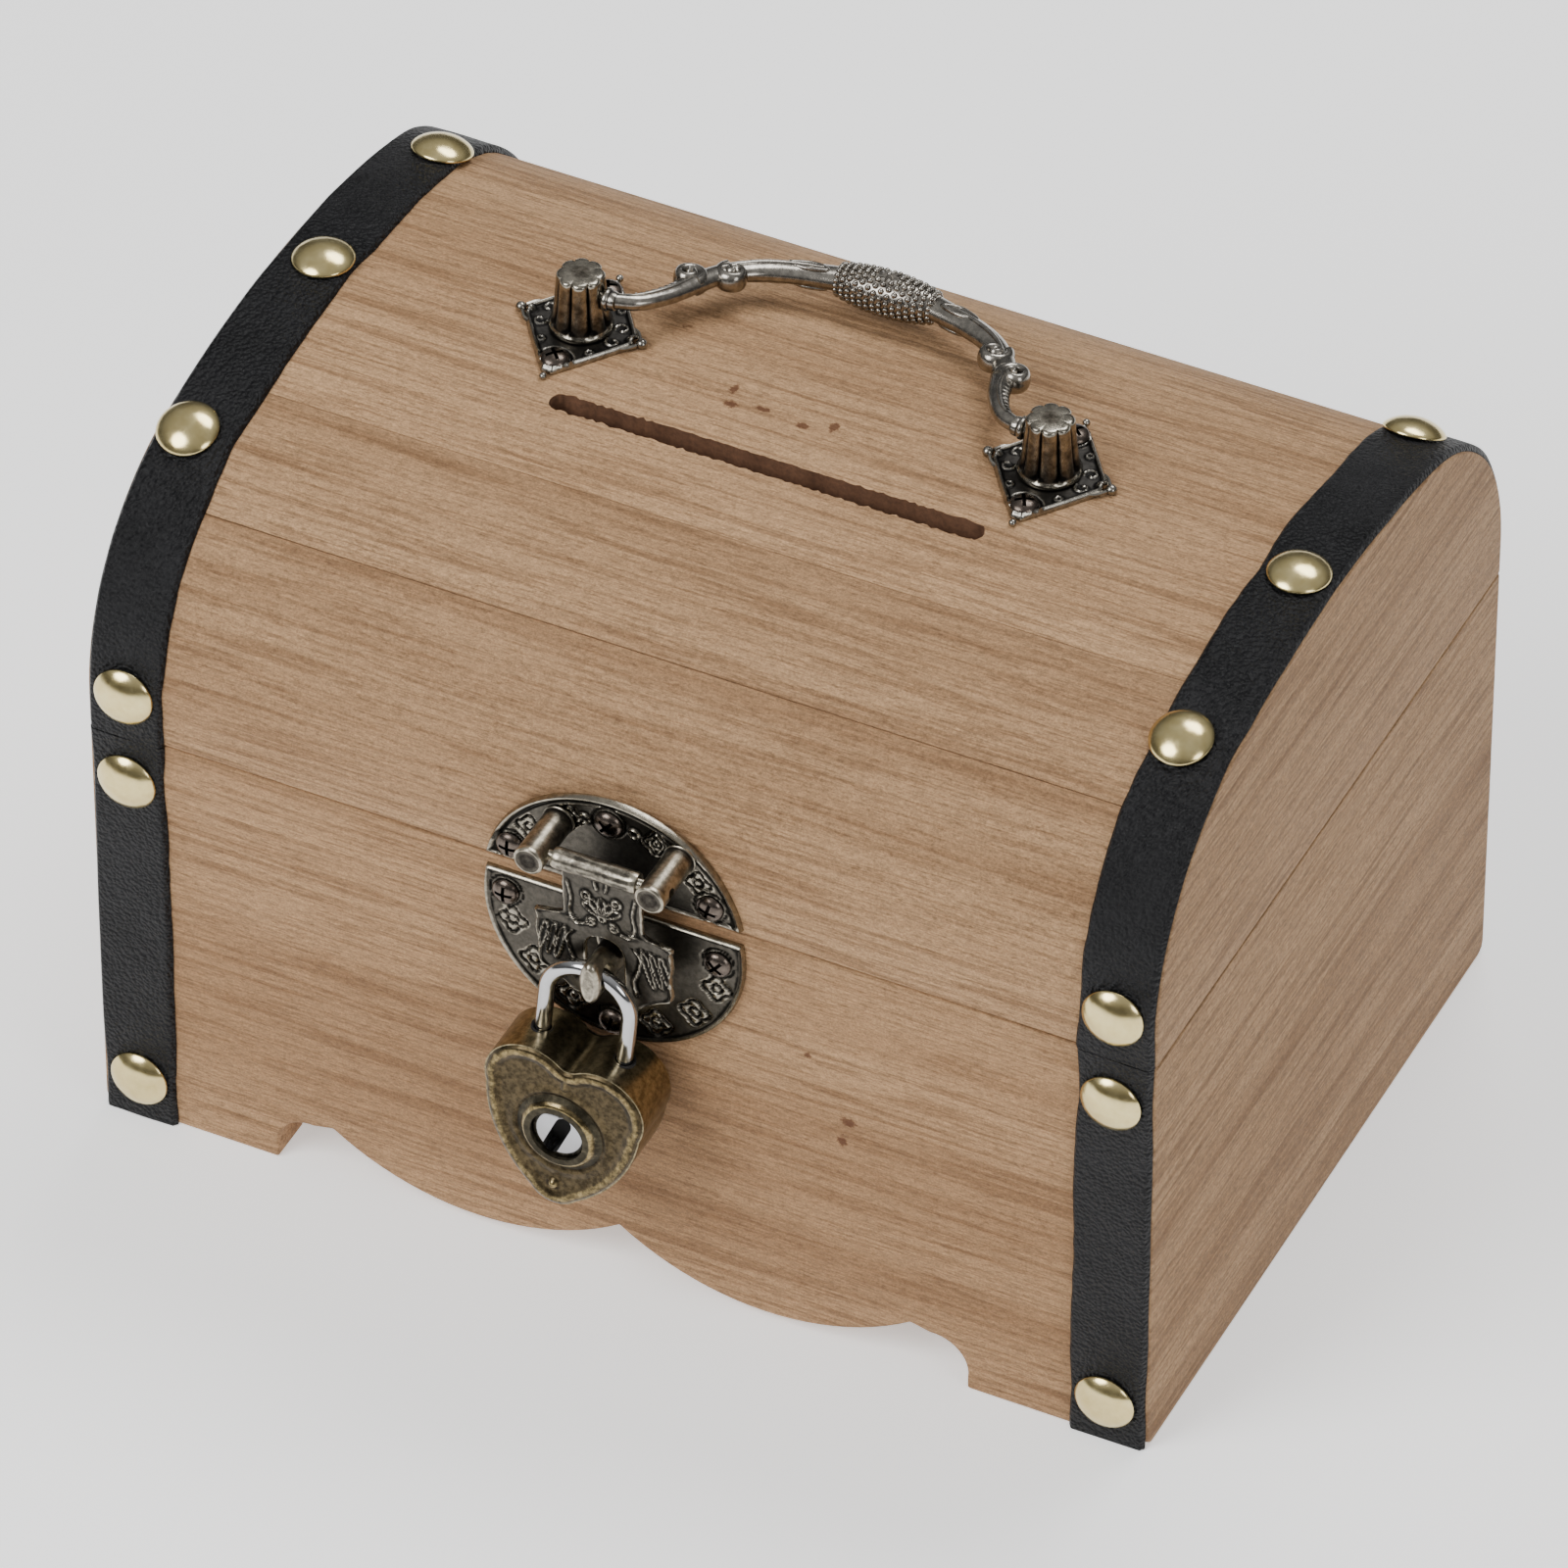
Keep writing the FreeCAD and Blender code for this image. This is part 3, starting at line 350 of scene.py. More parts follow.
def ramp(tree, factor, stops):
    """Colour ramp from (position, colour) stops."""
    item = node(tree, "ShaderNodeValToRGB", {"Fac": factor})
    elements = item.color_ramp.elements
    while len(elements) < len(stops):
        elements.new(0.5)
    for element, (position, colour) in zip(elements, stops):
        element.position = position
        element.color = (*colour, 1) if isinstance(colour, tuple) else (colour, colour, colour, 1)
    return item.outputs["Color"]


def object_place(tree):
    """Place on the object, in metres."""
    return node(tree, "ShaderNodeTexCoord", {}).outputs["Object"]


def grain_coordinates(tree, scale=(1, 1, 1), offset=(0, 0, 0)):
    """Object coordinates in millimetres, stretched and shifted."""
    return node(tree, "ShaderNodeMapping", {
        "Vector": object_place(tree), "Scale": tuple(k / MM for k in scale), "Location": offset,
    }).outputs["Vector"]


def noise_value(tree, vector, scale, detail=2.0, rough=0.5, distortion=0.0):
    """Noise from 0 to 1."""
    return node(tree, "ShaderNodeTexNoise", {
        "Vector": vector, "Scale": scale, "Detail": detail, "Roughness": rough,
        "Distortion": distortion}).outputs["Fac"]


def mix_colour(tree, factor, a, b, blend="MIX"):
    """One colour laid over another."""
    item = node(tree, "ShaderNodeMix", {0: factor}, data_type="RGBA", blend_type=blend)
    for place, value in ((6, a), (7, b)):
        feed(tree, item, {place: (*value, 1) if isinstance(value, tuple) else value})
    return item.outputs[2]


def maths(tree, operation, a, b):
    """Result of one sum on two values."""
    return node(tree, "ShaderNodeMath", {0: a, 1: b}, operation=operation).outputs[0]


def weighted(tree, *pairs):
    """Sum of patterns, each times its share."""
    total = 0.0
    for pattern, share in pairs:
        total = maths(tree, "ADD", total, maths(tree, "MULTIPLY", pattern, share))
    return total


def bump(tree, height, strength, distance):
    """Surface normal from a height pattern; distance is in metres."""
    return node(tree, "ShaderNodeBump", {
        "Height": height, "Strength": strength, "Distance": distance}).outputs["Normal"]


WOOD_PALE = (0.405, 0.252, 0.136)
WOOD_MID = (0.290, 0.170, 0.088)
WOOD_BETWEEN = tuple(0.45 * a + 0.55 * b for a, b in zip(WOOD_MID, WOOD_PALE))
WOOD_DARK = (0.165, 0.088, 0.042)
WOOD_BURNT = (0.085, 0.028, 0.012)
ALONG = 0.035      # how far the grain is drawn out along a board
WOOD_LIFT = 1.06


def wood(name, axis="X", tone=1.0, seed=0, warm=1.0, marks=()):
    """Bare fine-grained wood: broad bands, long dark streaks, short pores and a fuzzy ripple.

    marks are small dark burns in the wood, as (x, y, z, half length, half width) in millimetres.
    """
    material, tree, shader = new_material(name)
    shift = (seed * 13.7, seed * 7.3, seed * 3.1)

    def drawn_out(least):
        stretch = (least, 1, 1) if axis == "X" else (1, least, 1)
        return grain_coordinates(tree, stretch, shift)

    along = drawn_out(ALONG)
    plain = drawn_out(1)
    bands = noise_value(tree, along, 0.055, 3.0, 0.5, 1.2)
    lines = noise_value(tree, along, 0.62, 5.0, 0.68, 0.3)
    streaks = noise_value(tree, along, 1.5, 5.0, 0.75, 0.2)
    fibres = noise_value(tree, drawn_out(0.16), 3.0, 3.0, 0.75)
    ripple = noise_value(tree, drawn_out(0.35), 2.1, 4.0, 0.75, 0.4)
    specks = noise_value(tree, plain, 2.6, 3.0, 0.8)
    colour = ramp(tree, bands, [(0.30, WOOD_MID), (0.46, WOOD_BETWEEN), (0.70, WOOD_PALE)])
    # dark wood shows where a pattern is below one value, and fades out at the next
    for pattern, full, gone, share in ((lines, 0.38, 0.49, 0.60), (streaks, 0.40, 0.51, 0.56),
                                       (fibres, 0.34, 0.44, 0.60)):
        mask = maths(tree, "MULTIPLY", ramp(tree, pattern, [(full, 1.0), (gone, 0.0)]), share)
        colour = mix_colour(tree, mask, colour, WOOD_DARK)
    for pattern, stops in ((ripple, [(0.32, 0.74), (0.68, 1.27)]),
                           (specks, [(0.36, 0.80), (0.64, 1.20)])):
        colour = mix_colour(tree, 1.0, colour, ramp(tree, pattern, stops), "MULTIPLY")
    lift = WOOD_LIFT * tone
    colour = mix_colour(tree, 1.0, colour, (lift * warm, lift, lift / warm), "MULTIPLY")
    torn = noise_value(tree, plain, 1.5, 3.0, 0.7)
    for mark in marks:
        colour = mix_colour(tree, burn(tree, torn, *mark), colour, WOOD_BURNT)
    height = weighted(tree, (fibres, 0.6), (streaks, 0.4), (ripple, 0.8))
    feed(tree, shader, {
        "Base Color": colour, "Normal": bump(tree, height, 0.6, 0.25 * MM),
        "Roughness": ramp(tree, ripple, [(0.3, 0.60), (0.7, 0.74)]), "Specular IOR Level": 0.16})
    return material


def burn(tree, torn, x, y, z, half_long, half_wide):
    """Mask of one small burn, with a ragged edge."""
    away = node(tree, "ShaderNodeMapping", {
        "Vector": object_place(tree),
        "Scale": (1 / (half_long * MM), 1 / (half_wide * MM), 1 / (half_wide * MM)),
        "Location": (-x / half_long, -y / half_wide, -z / half_wide)}).outputs["Vector"]
    away = node(tree, "ShaderNodeVectorMath", {0: away}, operation="LENGTH").outputs["Value"]
    return ramp(tree, weighted(tree, (away, 0.5), (torn, 0.8)), [(0.66, 0.82), (0.84, 0.0)])


CROWN_MARKS = [(-10.5, -1.2, 117, 1.5, 1.0), (-11.5, 2.0, 117, 0.8, 1.6),
               (-5.8, -0.2, 117, 1.9, 0.6), (1.0, -1.0, 117, 1.6, 0.9), (5.2, 0.6, 117, 0.9, 1.4),
               (-24.0, 12.5, 117, 1.8, 0.8)]
FRONT_MARKS = [(37.0, -60, 44.5, 1.6, 1.0), (36.0, -60, 40.5, 1.0, 1.4), (30.5, -60, 55.0, 0.8, 0.6)]


def leather():
    """Black imitation leather with a fine running pebble."""
    material, tree, shader = new_material("black_leather")
    where = grain_coordinates(tree)
    warp = node(tree, "ShaderNodeTexNoise", {"Vector": where, "Scale": 0.35, "Detail": 2.0})
    shifted = node(tree, "ShaderNodeVectorMath", {0: where, 1: warp.outputs["Color"]},
                   operation="ADD").outputs[0]
    cells = node(tree, "ShaderNodeTexVoronoi", {"Vector": shifted, "Scale": 1.55},
                 feature="SMOOTH_F1")
    cells.inputs["Smoothness"].default_value = 0.35
    fine = noise_value(tree, where, 3.4, 2.0, 0.6)
    height = weighted(tree, (cells.outputs["Distance"], -1.0), (fine, 0.35))
    cloud = noise_value(tree, where, 0.12, 3.0, 0.5)
    feed(tree, shader, {
        "Base Color": ramp(tree, cloud, [(0.3, (0.004, 0.004, 0.0047)),
                                         (0.75, (0.009, 0.009, 0.0102))]),
        "Normal": bump(tree, height, 1.0, 0.45 * MM),
        "Roughness": ramp(tree, fine, [(0.3, 0.44), (0.8, 0.56)]), "Specular IOR Level": 0.22})
    return material


def polished_brass():
    """Bright pale brass of the tacks, faintly uneven."""
    material, tree, shader = new_material("pale_brass")
    where = grain_coordinates(tree)
    cloud = noise_value(tree, where, 0.5, 3.0, 0.6)
    feed(tree, shader, {
        "Base Color": ramp(tree, cloud, [(0.3, (0.66, 0.53, 0.24)), (0.75, (0.78, 0.66, 0.34))]),
        "Normal": bump(tree, noise_value(tree, where, 0.45, 1.0), 0.10, 0.6 * MM),
        "Roughness": ramp(tree, cloud, [(0.35, 0.17), (0.8, 0.26)]), "Metallic": 1.0})
    return material


def antique(name, dark, flat, bright, rough, mottle, mottle_scale=1.1, bright_from=0.62):
    """Antiqued plating: dark in the hollows, rubbed bright where the surface stands out."""
    material, tree, shader = new_material(name)
    where = grain_coordinates(tree)
    spots = noise_value(tree, where, mottle_scale, 5.0, 0.72)
    grit = noise_value(tree, where, 5.0, 2.0, 0.6)
    wear_value = node(tree, "ShaderNodeAttribute", {}, attribute_name="wear").outputs["Fac"]
    uneven = maths(tree, "MULTIPLY", maths(tree, "SUBTRACT", spots, 0.5), 0.22)
    worn = maths(tree, "ADD", wear_value, uneven)
    colour = ramp(tree, worn, [(0.30, dark), (0.47, flat), (bright_from - 0.06, flat),
                               (bright_from + 0.10, bright)])
    stain = ramp(tree, spots, [(0.40, 1.0 - mottle), (0.62, 1.12)])
    feed(tree, shader, {
        "Base Color": mix_colour(tree, 1.0, colour, stain, "MULTIPLY"),
        "Normal": bump(tree, grit, 0.16, 0.1 * MM),
        "Roughness": ramp(tree, worn, [(0.35, rough + 0.14), (0.75, rough - 0.12)]),
        "Metallic": 1.0})
    return material


def bright_metal(name, colour, rough):
    """Plain bright metal with slightly cloudy polish."""
    material, tree, shader = new_material(name)
    cloud = noise_value(tree, grain_coordinates(tree), 0.9, 3.0, 0.6)
    low = tuple(0.94 * c for c in colour)
    feed(tree, shader, {
        "Base Color": ramp(tree, cloud, [(0.3, low), (0.7, colour)]),
        "Roughness": ramp(tree, cloud, [(0.3, rough), (0.8, rough * 1.6)]), "Metallic": 1.0})
    return material


def dull(name, colour, rough=0.8):
    """Deep shade in a key slot and round the shackle's legs, or the slot's rough wood."""
    material, tree, shader = new_material(name)
    cloud = noise_value(tree, grain_coordinates(tree), 1.3, 3.0, 0.6)
    low = tuple(0.6 * c for c in colour)
    feed(tree, shader, {"Base Color": ramp(tree, cloud, [(0.3, low), (0.7, colour)]),
                        "Roughness": rough})
    return material


WOODS = {
    "base_front": wood("wood_base_front", "X", 0.95, 1, 1.02, marks=FRONT_MARKS),
    "base_back": wood("wood_base_back", "X", 0.98, 2),
    "base_end_left": wood("wood_base_end_left", "Y", 0.96, 3, 0.99),
    "base_end_right": wood("wood_base_end_right", "Y", 0.94, 4, 0.98),
    "base_floor": wood("wood_floor", "X", 1.15, 5),
    "lid_front": wood("wood_lid_front", "X", 0.99, 6),
    "lid_front_shoulder": wood("wood_lid_front_shoulder", "X", 0.99, 7),
    "lid_crown": wood("wood_lid_crown", "X", 1.08, 8, marks=CROWN_MARKS),
    "lid_back_shoulder": wood("wood_lid_back_shoulder", "X", 1.05, 9),
    "lid_back": wood("wood_lid_back", "X", 0.98, 10),
    "lid_end_left": wood("wood_lid_end_left", "Y", 0.95, 11, 0.99),
    "lid_end_right": wood("wood_lid_end_right", "Y", 0.92, 12, 0.98),
}
LEATHER = leather()
TACK = polished_brass()
PLATE = antique("plate_gunmetal", (0.016, 0.015, 0.014), (0.062, 0.058, 0.053),
                (0.34, 0.32, 0.28), rough=0.34, mottle=0.30, mottle_scale=0.9)
HASP = antique("antique_bronze", (0.012, 0.011, 0.009), (0.082, 0.074, 0.061),
               (0.33, 0.30, 0.24), rough=0.36, mottle=0.30, bright_from=0.80)
PEWTER = antique("antique_pewter", (0.010, 0.009, 0.009), (0.072, 0.065, 0.057),
                 (0.35, 0.325, 0.285), rough=0.34, mottle=0.35, mottle_scale=0.7, bright_from=0.66)
POST = antique("post_bronze", (0.010, 0.009, 0.008), (0.078, 0.066, 0.051),
               (0.36, 0.33, 0.27), rough=0.32, mottle=0.50, mottle_scale=0.6, bright_from=0.60)
SCREW = antique("screw_bronze", (0.010, 0.008, 0.007), (0.042, 0.033, 0.028),
                (0.13, 0.105, 0.088), rough=0.38, mottle=0.3)
# lighter copy of the hasp bronze for the lugs, the tongue's barrel and the staple: painted highlight
HASP_LIT = antique("hasp_bronze_lit", (0.026, 0.022, 0.018), (0.095, 0.085, 0.069),
                 (0.42, 0.38, 0.30), rough=0.40, mottle=0.40, mottle_scale=0.8, bright_from=0.70)
LOCK = antique("padlock_brass", (0.016, 0.011, 0.006), (0.092, 0.069, 0.037),
               (0.34, 0.260, 0.122), rough=0.31, mottle=0.60, mottle_scale=0.9, bright_from=0.64)
# darker copy of the padlock brass on the case and the cover: painted shade on the sides
LOCK_SHADED_SIDE = antique("padlock_brass_shaded_side", (0.016, 0.012, 0.007), (0.058, 0.050, 0.033),
               (0.30, 0.25, 0.15), rough=0.40, mottle=0.50, mottle_scale=0.9, bright_from=0.66)
HINGE = antique("hinge_brass", (0.10, 0.07, 0.03), (0.50, 0.37, 0.17), (0.78, 0.64, 0.36),
                rough=0.34, mottle=0.3)
CHROME = bright_metal("chrome", (0.53, 0.53, 0.54), 0.09)
PLUG = bright_metal("plug_steel", (0.44, 0.44, 0.455), 0.14)
STEEL = bright_metal("lock_steel", (0.52, 0.52, 0.53), 0.28)
DARK = dull("deep_shade", (0.010, 0.009, 0.008))
CHAR = dull("slot_wall_wood", (0.150, 0.068, 0.033), 0.9)


# ---------------------------------------------------------------- relief work

def resample(outline, count):
    """Evenly spaced points round a closed outline."""
    points = [Vector((p[0], p[1])) for p in outline]
    points.append(points[0])
    marks = [0.0]
    for a, b in zip(points, points[1:]):
        marks.append(marks[-1] + (b - a).length)
    out = []
    span = 0
    for k in range(count):
        target = marks[-1] * k / count
        while span < len(marks) - 2 and marks[span + 1] < target:
            span += 1
        part = (target - marks[span]) / max(marks[span + 1] - marks[span], 1e-9)
        out.append(points[span].lerp(points[span + 1], min(part, 1.0)))
    return out


def arc(centre, radius, start, end, steps):
    """Points along part of a circle, between two angles in degrees."""
    turns = [math.radians(start + (end - start) * k / steps) for k in range(steps + 1)]
    return [(centre[0] + radius * math.cos(t), centre[1] + radius * math.sin(t)) for t in turns]


def ring(centre, radius, steps):
    """Points round a whole circle."""
    return arc(centre, radius, 0, 360, steps)


def scroll(centre, radius, start, turns, tight, steps=26):
    """Spiral that runs inwards from its outer end; negative turns run clockwise."""
    out = []
    for k in range(steps + 1):
        t = k / steps
        angle = math.radians(start) + 2 * math.pi * turns * t
        r = radius * (1 - (1 - tight) * t)
        out.append((centre[0] + r * math.cos(angle), centre[1] + r * math.sin(angle)))
    return out


def mirrored(lines):
    """Lines and their mirror images in the upright middle line."""
    return lines + [[(-p[0], p[1]) for p in line] for line in lines]


def relief(points, strokes):
    """Height at each point, from ridges and grooves of given half width and height."""
    points = np.array([(p[0], p[1]) for p in points])
    raised = np.zeros(len(points))
    sunk = np.zeros(len(points))
    for line, width, height in strokes:
        line = np.array([(p[0], p[1]) for p in line])
        start, span = line[:-1], line[1:] - line[:-1]
        length = (span**2).sum(1) + 1e-12
        gap = points[:, None, :] - start[None]
        along = np.clip((gap * span).sum(2) / length, 0, 1)
        distance = np.sqrt(((gap - along[..., None] * span) ** 2).sum(2)).min(1)
        swell = height * np.clip(1 - (distance / width) ** 2, 0, 1) ** 2
        if height > 0:
            raised = np.maximum(raised, swell)
        else:
            sunk = np.minimum(sunk, swell)
    return raised + sunk


def inset(outline, distance):
    """Outline moved inwards, for outlines listed anticlockwise."""
    count = len(outline)
    out = []
    for i, point in enumerate(outline):
        along = (outline[(i + 1) % count] - outline[i - 1]).normalized()
        out.append(point + Vector((-along.y, along.x)) * distance)
    return out


def anticlockwise(outline):
    """The outline, turned round if it is listed clockwise."""
    area = sum(a.x * b.y - b.x * a.y for a, b in zip(outline, outline[1:] + outline[:1]))
    return outline if area > 0 else outline[::-1]


SHEET_BACK = -0.9     # heights below this one belong to the back of an embossed plate
CENTRE_HOLE = 0.004   # share of the way out at which the rounds of a whole sheet start


def star_sheet(outline, centre, strokes, place, rows, thick=1.0, edge=0.22, hole=None, dome=None):
    """Embossed sheet: rings of points from the centre, or from a round hole, to the outline.

    place(u, v, height) puts a point of the sheet in space.
    """
    centre = Vector(centre)
    inner = inset(outline, edge)
    rounds = []
    for t in np.linspace(0, 1, rows + 1):
        if hole is None:
            rounds.append([centre.lerp(p, max(t, CENTRE_HOLE)) for p in inner])
        else:
            rounds.append([(centre + (p - centre).normalized() * hole).lerp(p, t) for p in inner])
    flat = [p for row in rounds for p in row]
    heights = relief(flat, strokes)
    if dome:
        heights = heights + np.array([dome((p - centre).length) for p in flat])
    sheet = [[place(*p, h) for p, h in zip(row, lifts)]
             for row, lifts in zip(rounds, heights.reshape(len(rounds), -1))]
    sheet += [[place(*p, -depth) for p in outline] for depth in (edge, thick)]
    if hole is not None:
        sheet += [[place(*p, -thick) for p in rounds[0]], sheet[0]]
    shape = Shape()
    shape.add(*rings(sheet, (hole is None, hole is None)))
    return shape


# ---------------------------------------------------------------- wooden box

SLOT_LENGTH, SLOT_WIDTH, SLOT_Y = 69, 3.4, -11
EDGE_EASE = 0.45
GLUED_EASE = 0.22     # the staves that meet others on both sides


def wooden_box():
    """Boards with eased edges; the coin slot's walls are rough and dark."""
    for name, material in WOODS.items():
        body = name.split("_")[0]
        glued = name in ("lid_crown", "lid_front_shoulder", "lid_back_shoulder")
        board = softened(name, material, GLUED_EASE if glued else EDGE_EASE, body)
        if name == "lid_crown":
            roughen_slot(board)


def roughen_slot(board):
    """Gives the slot's walls their own dark wood and its edges a slightly torn line."""
    tear, cuts, shortest, steep = 0.55, 90, 20, 0.6
    mesh = board.data
    mesh.materials.append(CHAR)
    work = bmesh.new()
    work.from_mesh(mesh)

    def within(point, past_end, past_side):
        return (abs(point.x) < (SLOT_LENGTH / 2 + past_end) * MM
                and abs(point.y - SLOT_Y * MM) < (SLOT_WIDTH / 2 + past_side) * MM)

    long_edges = [e for e in work.edges if all(within(v.co, 0.8, 0.7) for v in e.verts)
                  and abs(e.verts[0].co.x - e.verts[1].co.x) > shortest * MM]
    bmesh.ops.subdivide_edges(work, edges=long_edges, cuts=cuts, use_grid_fill=False)
    for vert in work.verts:
        if within(vert.co, 0, 0.7):
            x, y, z = vert.co / MM
            vert.co.y += tear * MM * noise.noise(Vector((1.37 * x + 0.5, 0.31 * y, 0.9 * z)))
    for face in work.faces:
        if within(face.calc_center_median(), 0.2, 0.5) and abs(face.normal.z) < steep:
            face.material_index = 1
    work.to_mesh(mesh)
    work.free()


# ---------------------------------------------------------------- straps

LID_TACKS = [(-80, -36.3), (-77.7, 1.4), (-76.4, 36.3), (76.9, -35.5), (79, -0.8), (77.4, 42.8)]
TACK_X = 78.6
SIDE_TACK_ANGLE = 86.5
BASE_TACK_Z = (66, 7.7)


def strap_path_lid():
    """(y, z, lean of the outward normal) down the lid from its front edge to its back one."""
    side = np.linspace(TANGENT, 90, 54)
    crown = np.linspace(-TANGENT, TANGENT, 66)[1:-1]
    stops = [(-HALF_DEPTH, z, -90) for z in np.arange(LID_BOTTOM, EDGE_HEIGHT)]
    stops += [(*arch(a), a) for a in (*-side[::-1], *crown, *side)]
    stops += [(HALF_DEPTH, z, 90) for z in np.arange(EDGE_HEIGHT, LID_BOTTOM, -1)[1:]]
    stops.append((HALF_DEPTH, LID_BOTTOM, 90))
    return stops


def strap(name, side, stops, pins, body, seed):
    """Leather strip along a path, thick with soft edges that draw in at the tacks."""
    outer = side * HALF_LENGTH
    inner = side * (HALF_LENGTH - STRAP_WIDTH)
    across, rounding, dent, closing = 22, 0.75, 0.12, 0.02
    rows = []
    for y, z, lean in stops:
        out = Vector((0, math.sin(math.radians(lean)), math.cos(math.radians(lean))))
        here = Vector((seed * 17.0, y * 0.06, z * 0.06))
        pull = sum(math.exp(-(math.hypot(y - pin.y, z - pin.z) / 5.0) ** 2) for pin in pins)
        wave = 0.38 * noise.noise(here) + 0.14 * noise.noise(here * 5.3)
        start = inner + side * (0.30 + wave + 0.35 * pull)
        wave = 0.30 * noise.noise(here + 50 * X_AXIS)
        end = outer - side * (0.22 + abs(wave) + 0.15 * pull)
        row = []
        for k in range(across + 1):
            t = k / across
            x = start + (end - start) * t
            point = Vector((x, y, z))
            rim = min(t, 1 - t) * abs(end - start)
            lift = STRAP_THICK * (1 - max(0, 1 - rim / rounding) ** 2.4 * 0.72)
            puff = 0.16 * noise.noise(Vector((x * 0.16, y * 0.13, z * 0.13 + seed)))
            press = sum(math.exp(-((point - pin).length / 5.6) ** 2) for pin in pins)
            row.append(point + out * (lift + puff * min(rim, 1) - dent * press))
        rows.append(row + [Vector((x, y, z)) + out * closing for x in (end, start)])
    shape = Shape()
    shape.add(*rings(rows))
    shape.make(name + "_leather", LEATHER, body, "strap_leather", (name,), sharp=60)


def straps():
    """One strap over each end of the lid and one up each corner of the base."""
    for label, side in SIDES:
        pins = [Vector((x, *arch(arch_angle(y)))) for x, y in LID_TACKS if x * side > 0]
        pins += [Vector((side * TACK_X, *arch(a * SIDE_TACK_ANGLE))) for a in (-1, 1)]
        strap("strap_lid_" + label, side, strap_path_lid(), pins, "lid", 3 + side)
        for face, where in ((-1, "front"), (1, "back")):
            pins = [Vector((side * TACK_X, face * HALF_DEPTH, z)) for z in BASE_TACK_Z]
            stops = [(face * HALF_DEPTH, z, 90 * face) for z in np.linspace(0.0, BASE_TOP, 75)]
            strap(f"strap_base_{where}_{label}", side, stops, pins, "base", 11 + 2 * side + face)


TACK_PROFILE = [(0.0, -5.0), (0.62, -4.4), (0.65, 0.0), (4.2, 0.02), (4.72, 0.12), (4.75, 0.30),
                (4.62, 0.52), (4.30, 0.86), (3.75, 1.28), (3.05, 1.66), (2.2, 1.98), (1.3, 2.2),
                (0.6, 2.28), (0.0, 2.3)]


def tack_place(point, normal, chance):
    """Matrix of a tack driven very slightly off square."""
    askew, clear = 0.035, 0.05
    out = Vector(normal)
    lean = Vector([chance.uniform(-askew, askew) for _ in range(3)])
    return stand(Vector(point) + out * clear, (out + lean).normalized(), chance.uniform(0, 6))


def tacks():
    """Tacks through the straps, a little unevenly placed on the lid."""
    chance = random.Random(4)
    head = Shape()
    head.add(*lathe(TACK_PROFILE, 40))
    lid = Shape()
    spots = [(x, arch_angle(y)) for x, y in LID_TACKS]
    spots += [(side * TACK_X, a * SIDE_TACK_ANGLE) for side in (-1, 1) for a in (-1, 1)]
    for x, angle in spots:
        lean = math.radians(angle)
        normal = (0, math.sin(lean), math.cos(lean))
        lid.merge(head, tack_place((x, *arch(angle, STRAP_THICK)), normal, chance))
    lid.make("tack_heads_lid", TACK, "lid", "tack_brass", ("tacks_lid",), sharp=50)
    base = Shape()
    for side in (-1, 1):
        for face in (-1, 1):
            for z in BASE_TACK_Z:
                point = (side * TACK_X, face * (HALF_DEPTH + STRAP_THICK), z)
                base.merge(head, tack_place(point, (0, face, 0), chance))
    base.make("tack_heads_base", TACK, "base", "tack_brass", ("tacks_base",), sharp=50)


# ---------------------------------------------------------------- screws

SCREW_PROFILE = [(0, -4.6), (0.5, -3.8), (0.85, -3.0), (0.85, 0), (2.08, 0), (2.2, 0.14),
                 (2.1, 0.42), (1.76, 0.80), (1.1, 1.08), (0.44, 1.19), (0, 1.2)]


def cross_screw():
    """Low domed head with a cross recess, made as one turned blank with the cross sunk in it."""
    arm, half, low, high = 1.364, 0.27, 0.35, 2.0
    blank = Shape()
    blank.add(*lathe(SCREW_PROFILE, 32))
    for a, b in ((arm, half), (half, arm)):
        corners = ((-a, -b), (a, -b), (a, b), (-a, b))
        cutter = Shape()
        cutter.add(*rings([[(x, y, z) for x, y in corners] for z in (low, high)]))
        blank = subtract(blank, cutter)
    return blank


def screws(name, points, direction, body):
    """A group of cross-headed screws, each at its own turn."""
    chance = random.Random(len(name))
    group = Shape()
    head = cross_screw()
    for point in points:
        group.merge(head, stand(point, direction, chance.uniform(0, 3)))
    group.make(name + "_crossed", SCREW, body, "screw_bronze", (name,), sharp=32)


# ---------------------------------------------------------------- hinges

HINGE_X, HINGE_Z = 45, 74
HINGE_SCREW = 6     # from the middle of the hinge, both ways
LEAF_THICK = 1


def hinges():
    """Two butt hinges with their pins and screws."""
    for side, _ in SIDES:
        softened("hinge_base_leaf_" + side, HINGE, 0.15, "base")
        softened("hinge_lid_leaf_" + side, HINGE, 0.15, "lid")
    softened("hinge_pins", HINGE, 0.12, "base")
    for name, up, body in (("hinge_screws_base", -1, "base"), ("hinge_screws_lid", 1, "lid")):
        points = [(side * HINGE_X + way * HINGE_SCREW, HALF_DEPTH + LEAF_THICK,
                   HINGE_Z + up * HINGE_SCREW) for side in (-1, 1) for way in (-1, 1)]
        screws(name, points, (0, 1, 0), body)


# ---------------------------------------------------------------- handle

POST_X = 37.4
HANDLE_LINE = 4.7
PLATE_TOP = 118.1
POST_TOP = 127.5
PIVOT_HEIGHT = 124
PLATE_HALF = (9.4, 12.3)
PLATE_RELIEF = 0.45
PLATE_SCREW = 8.6


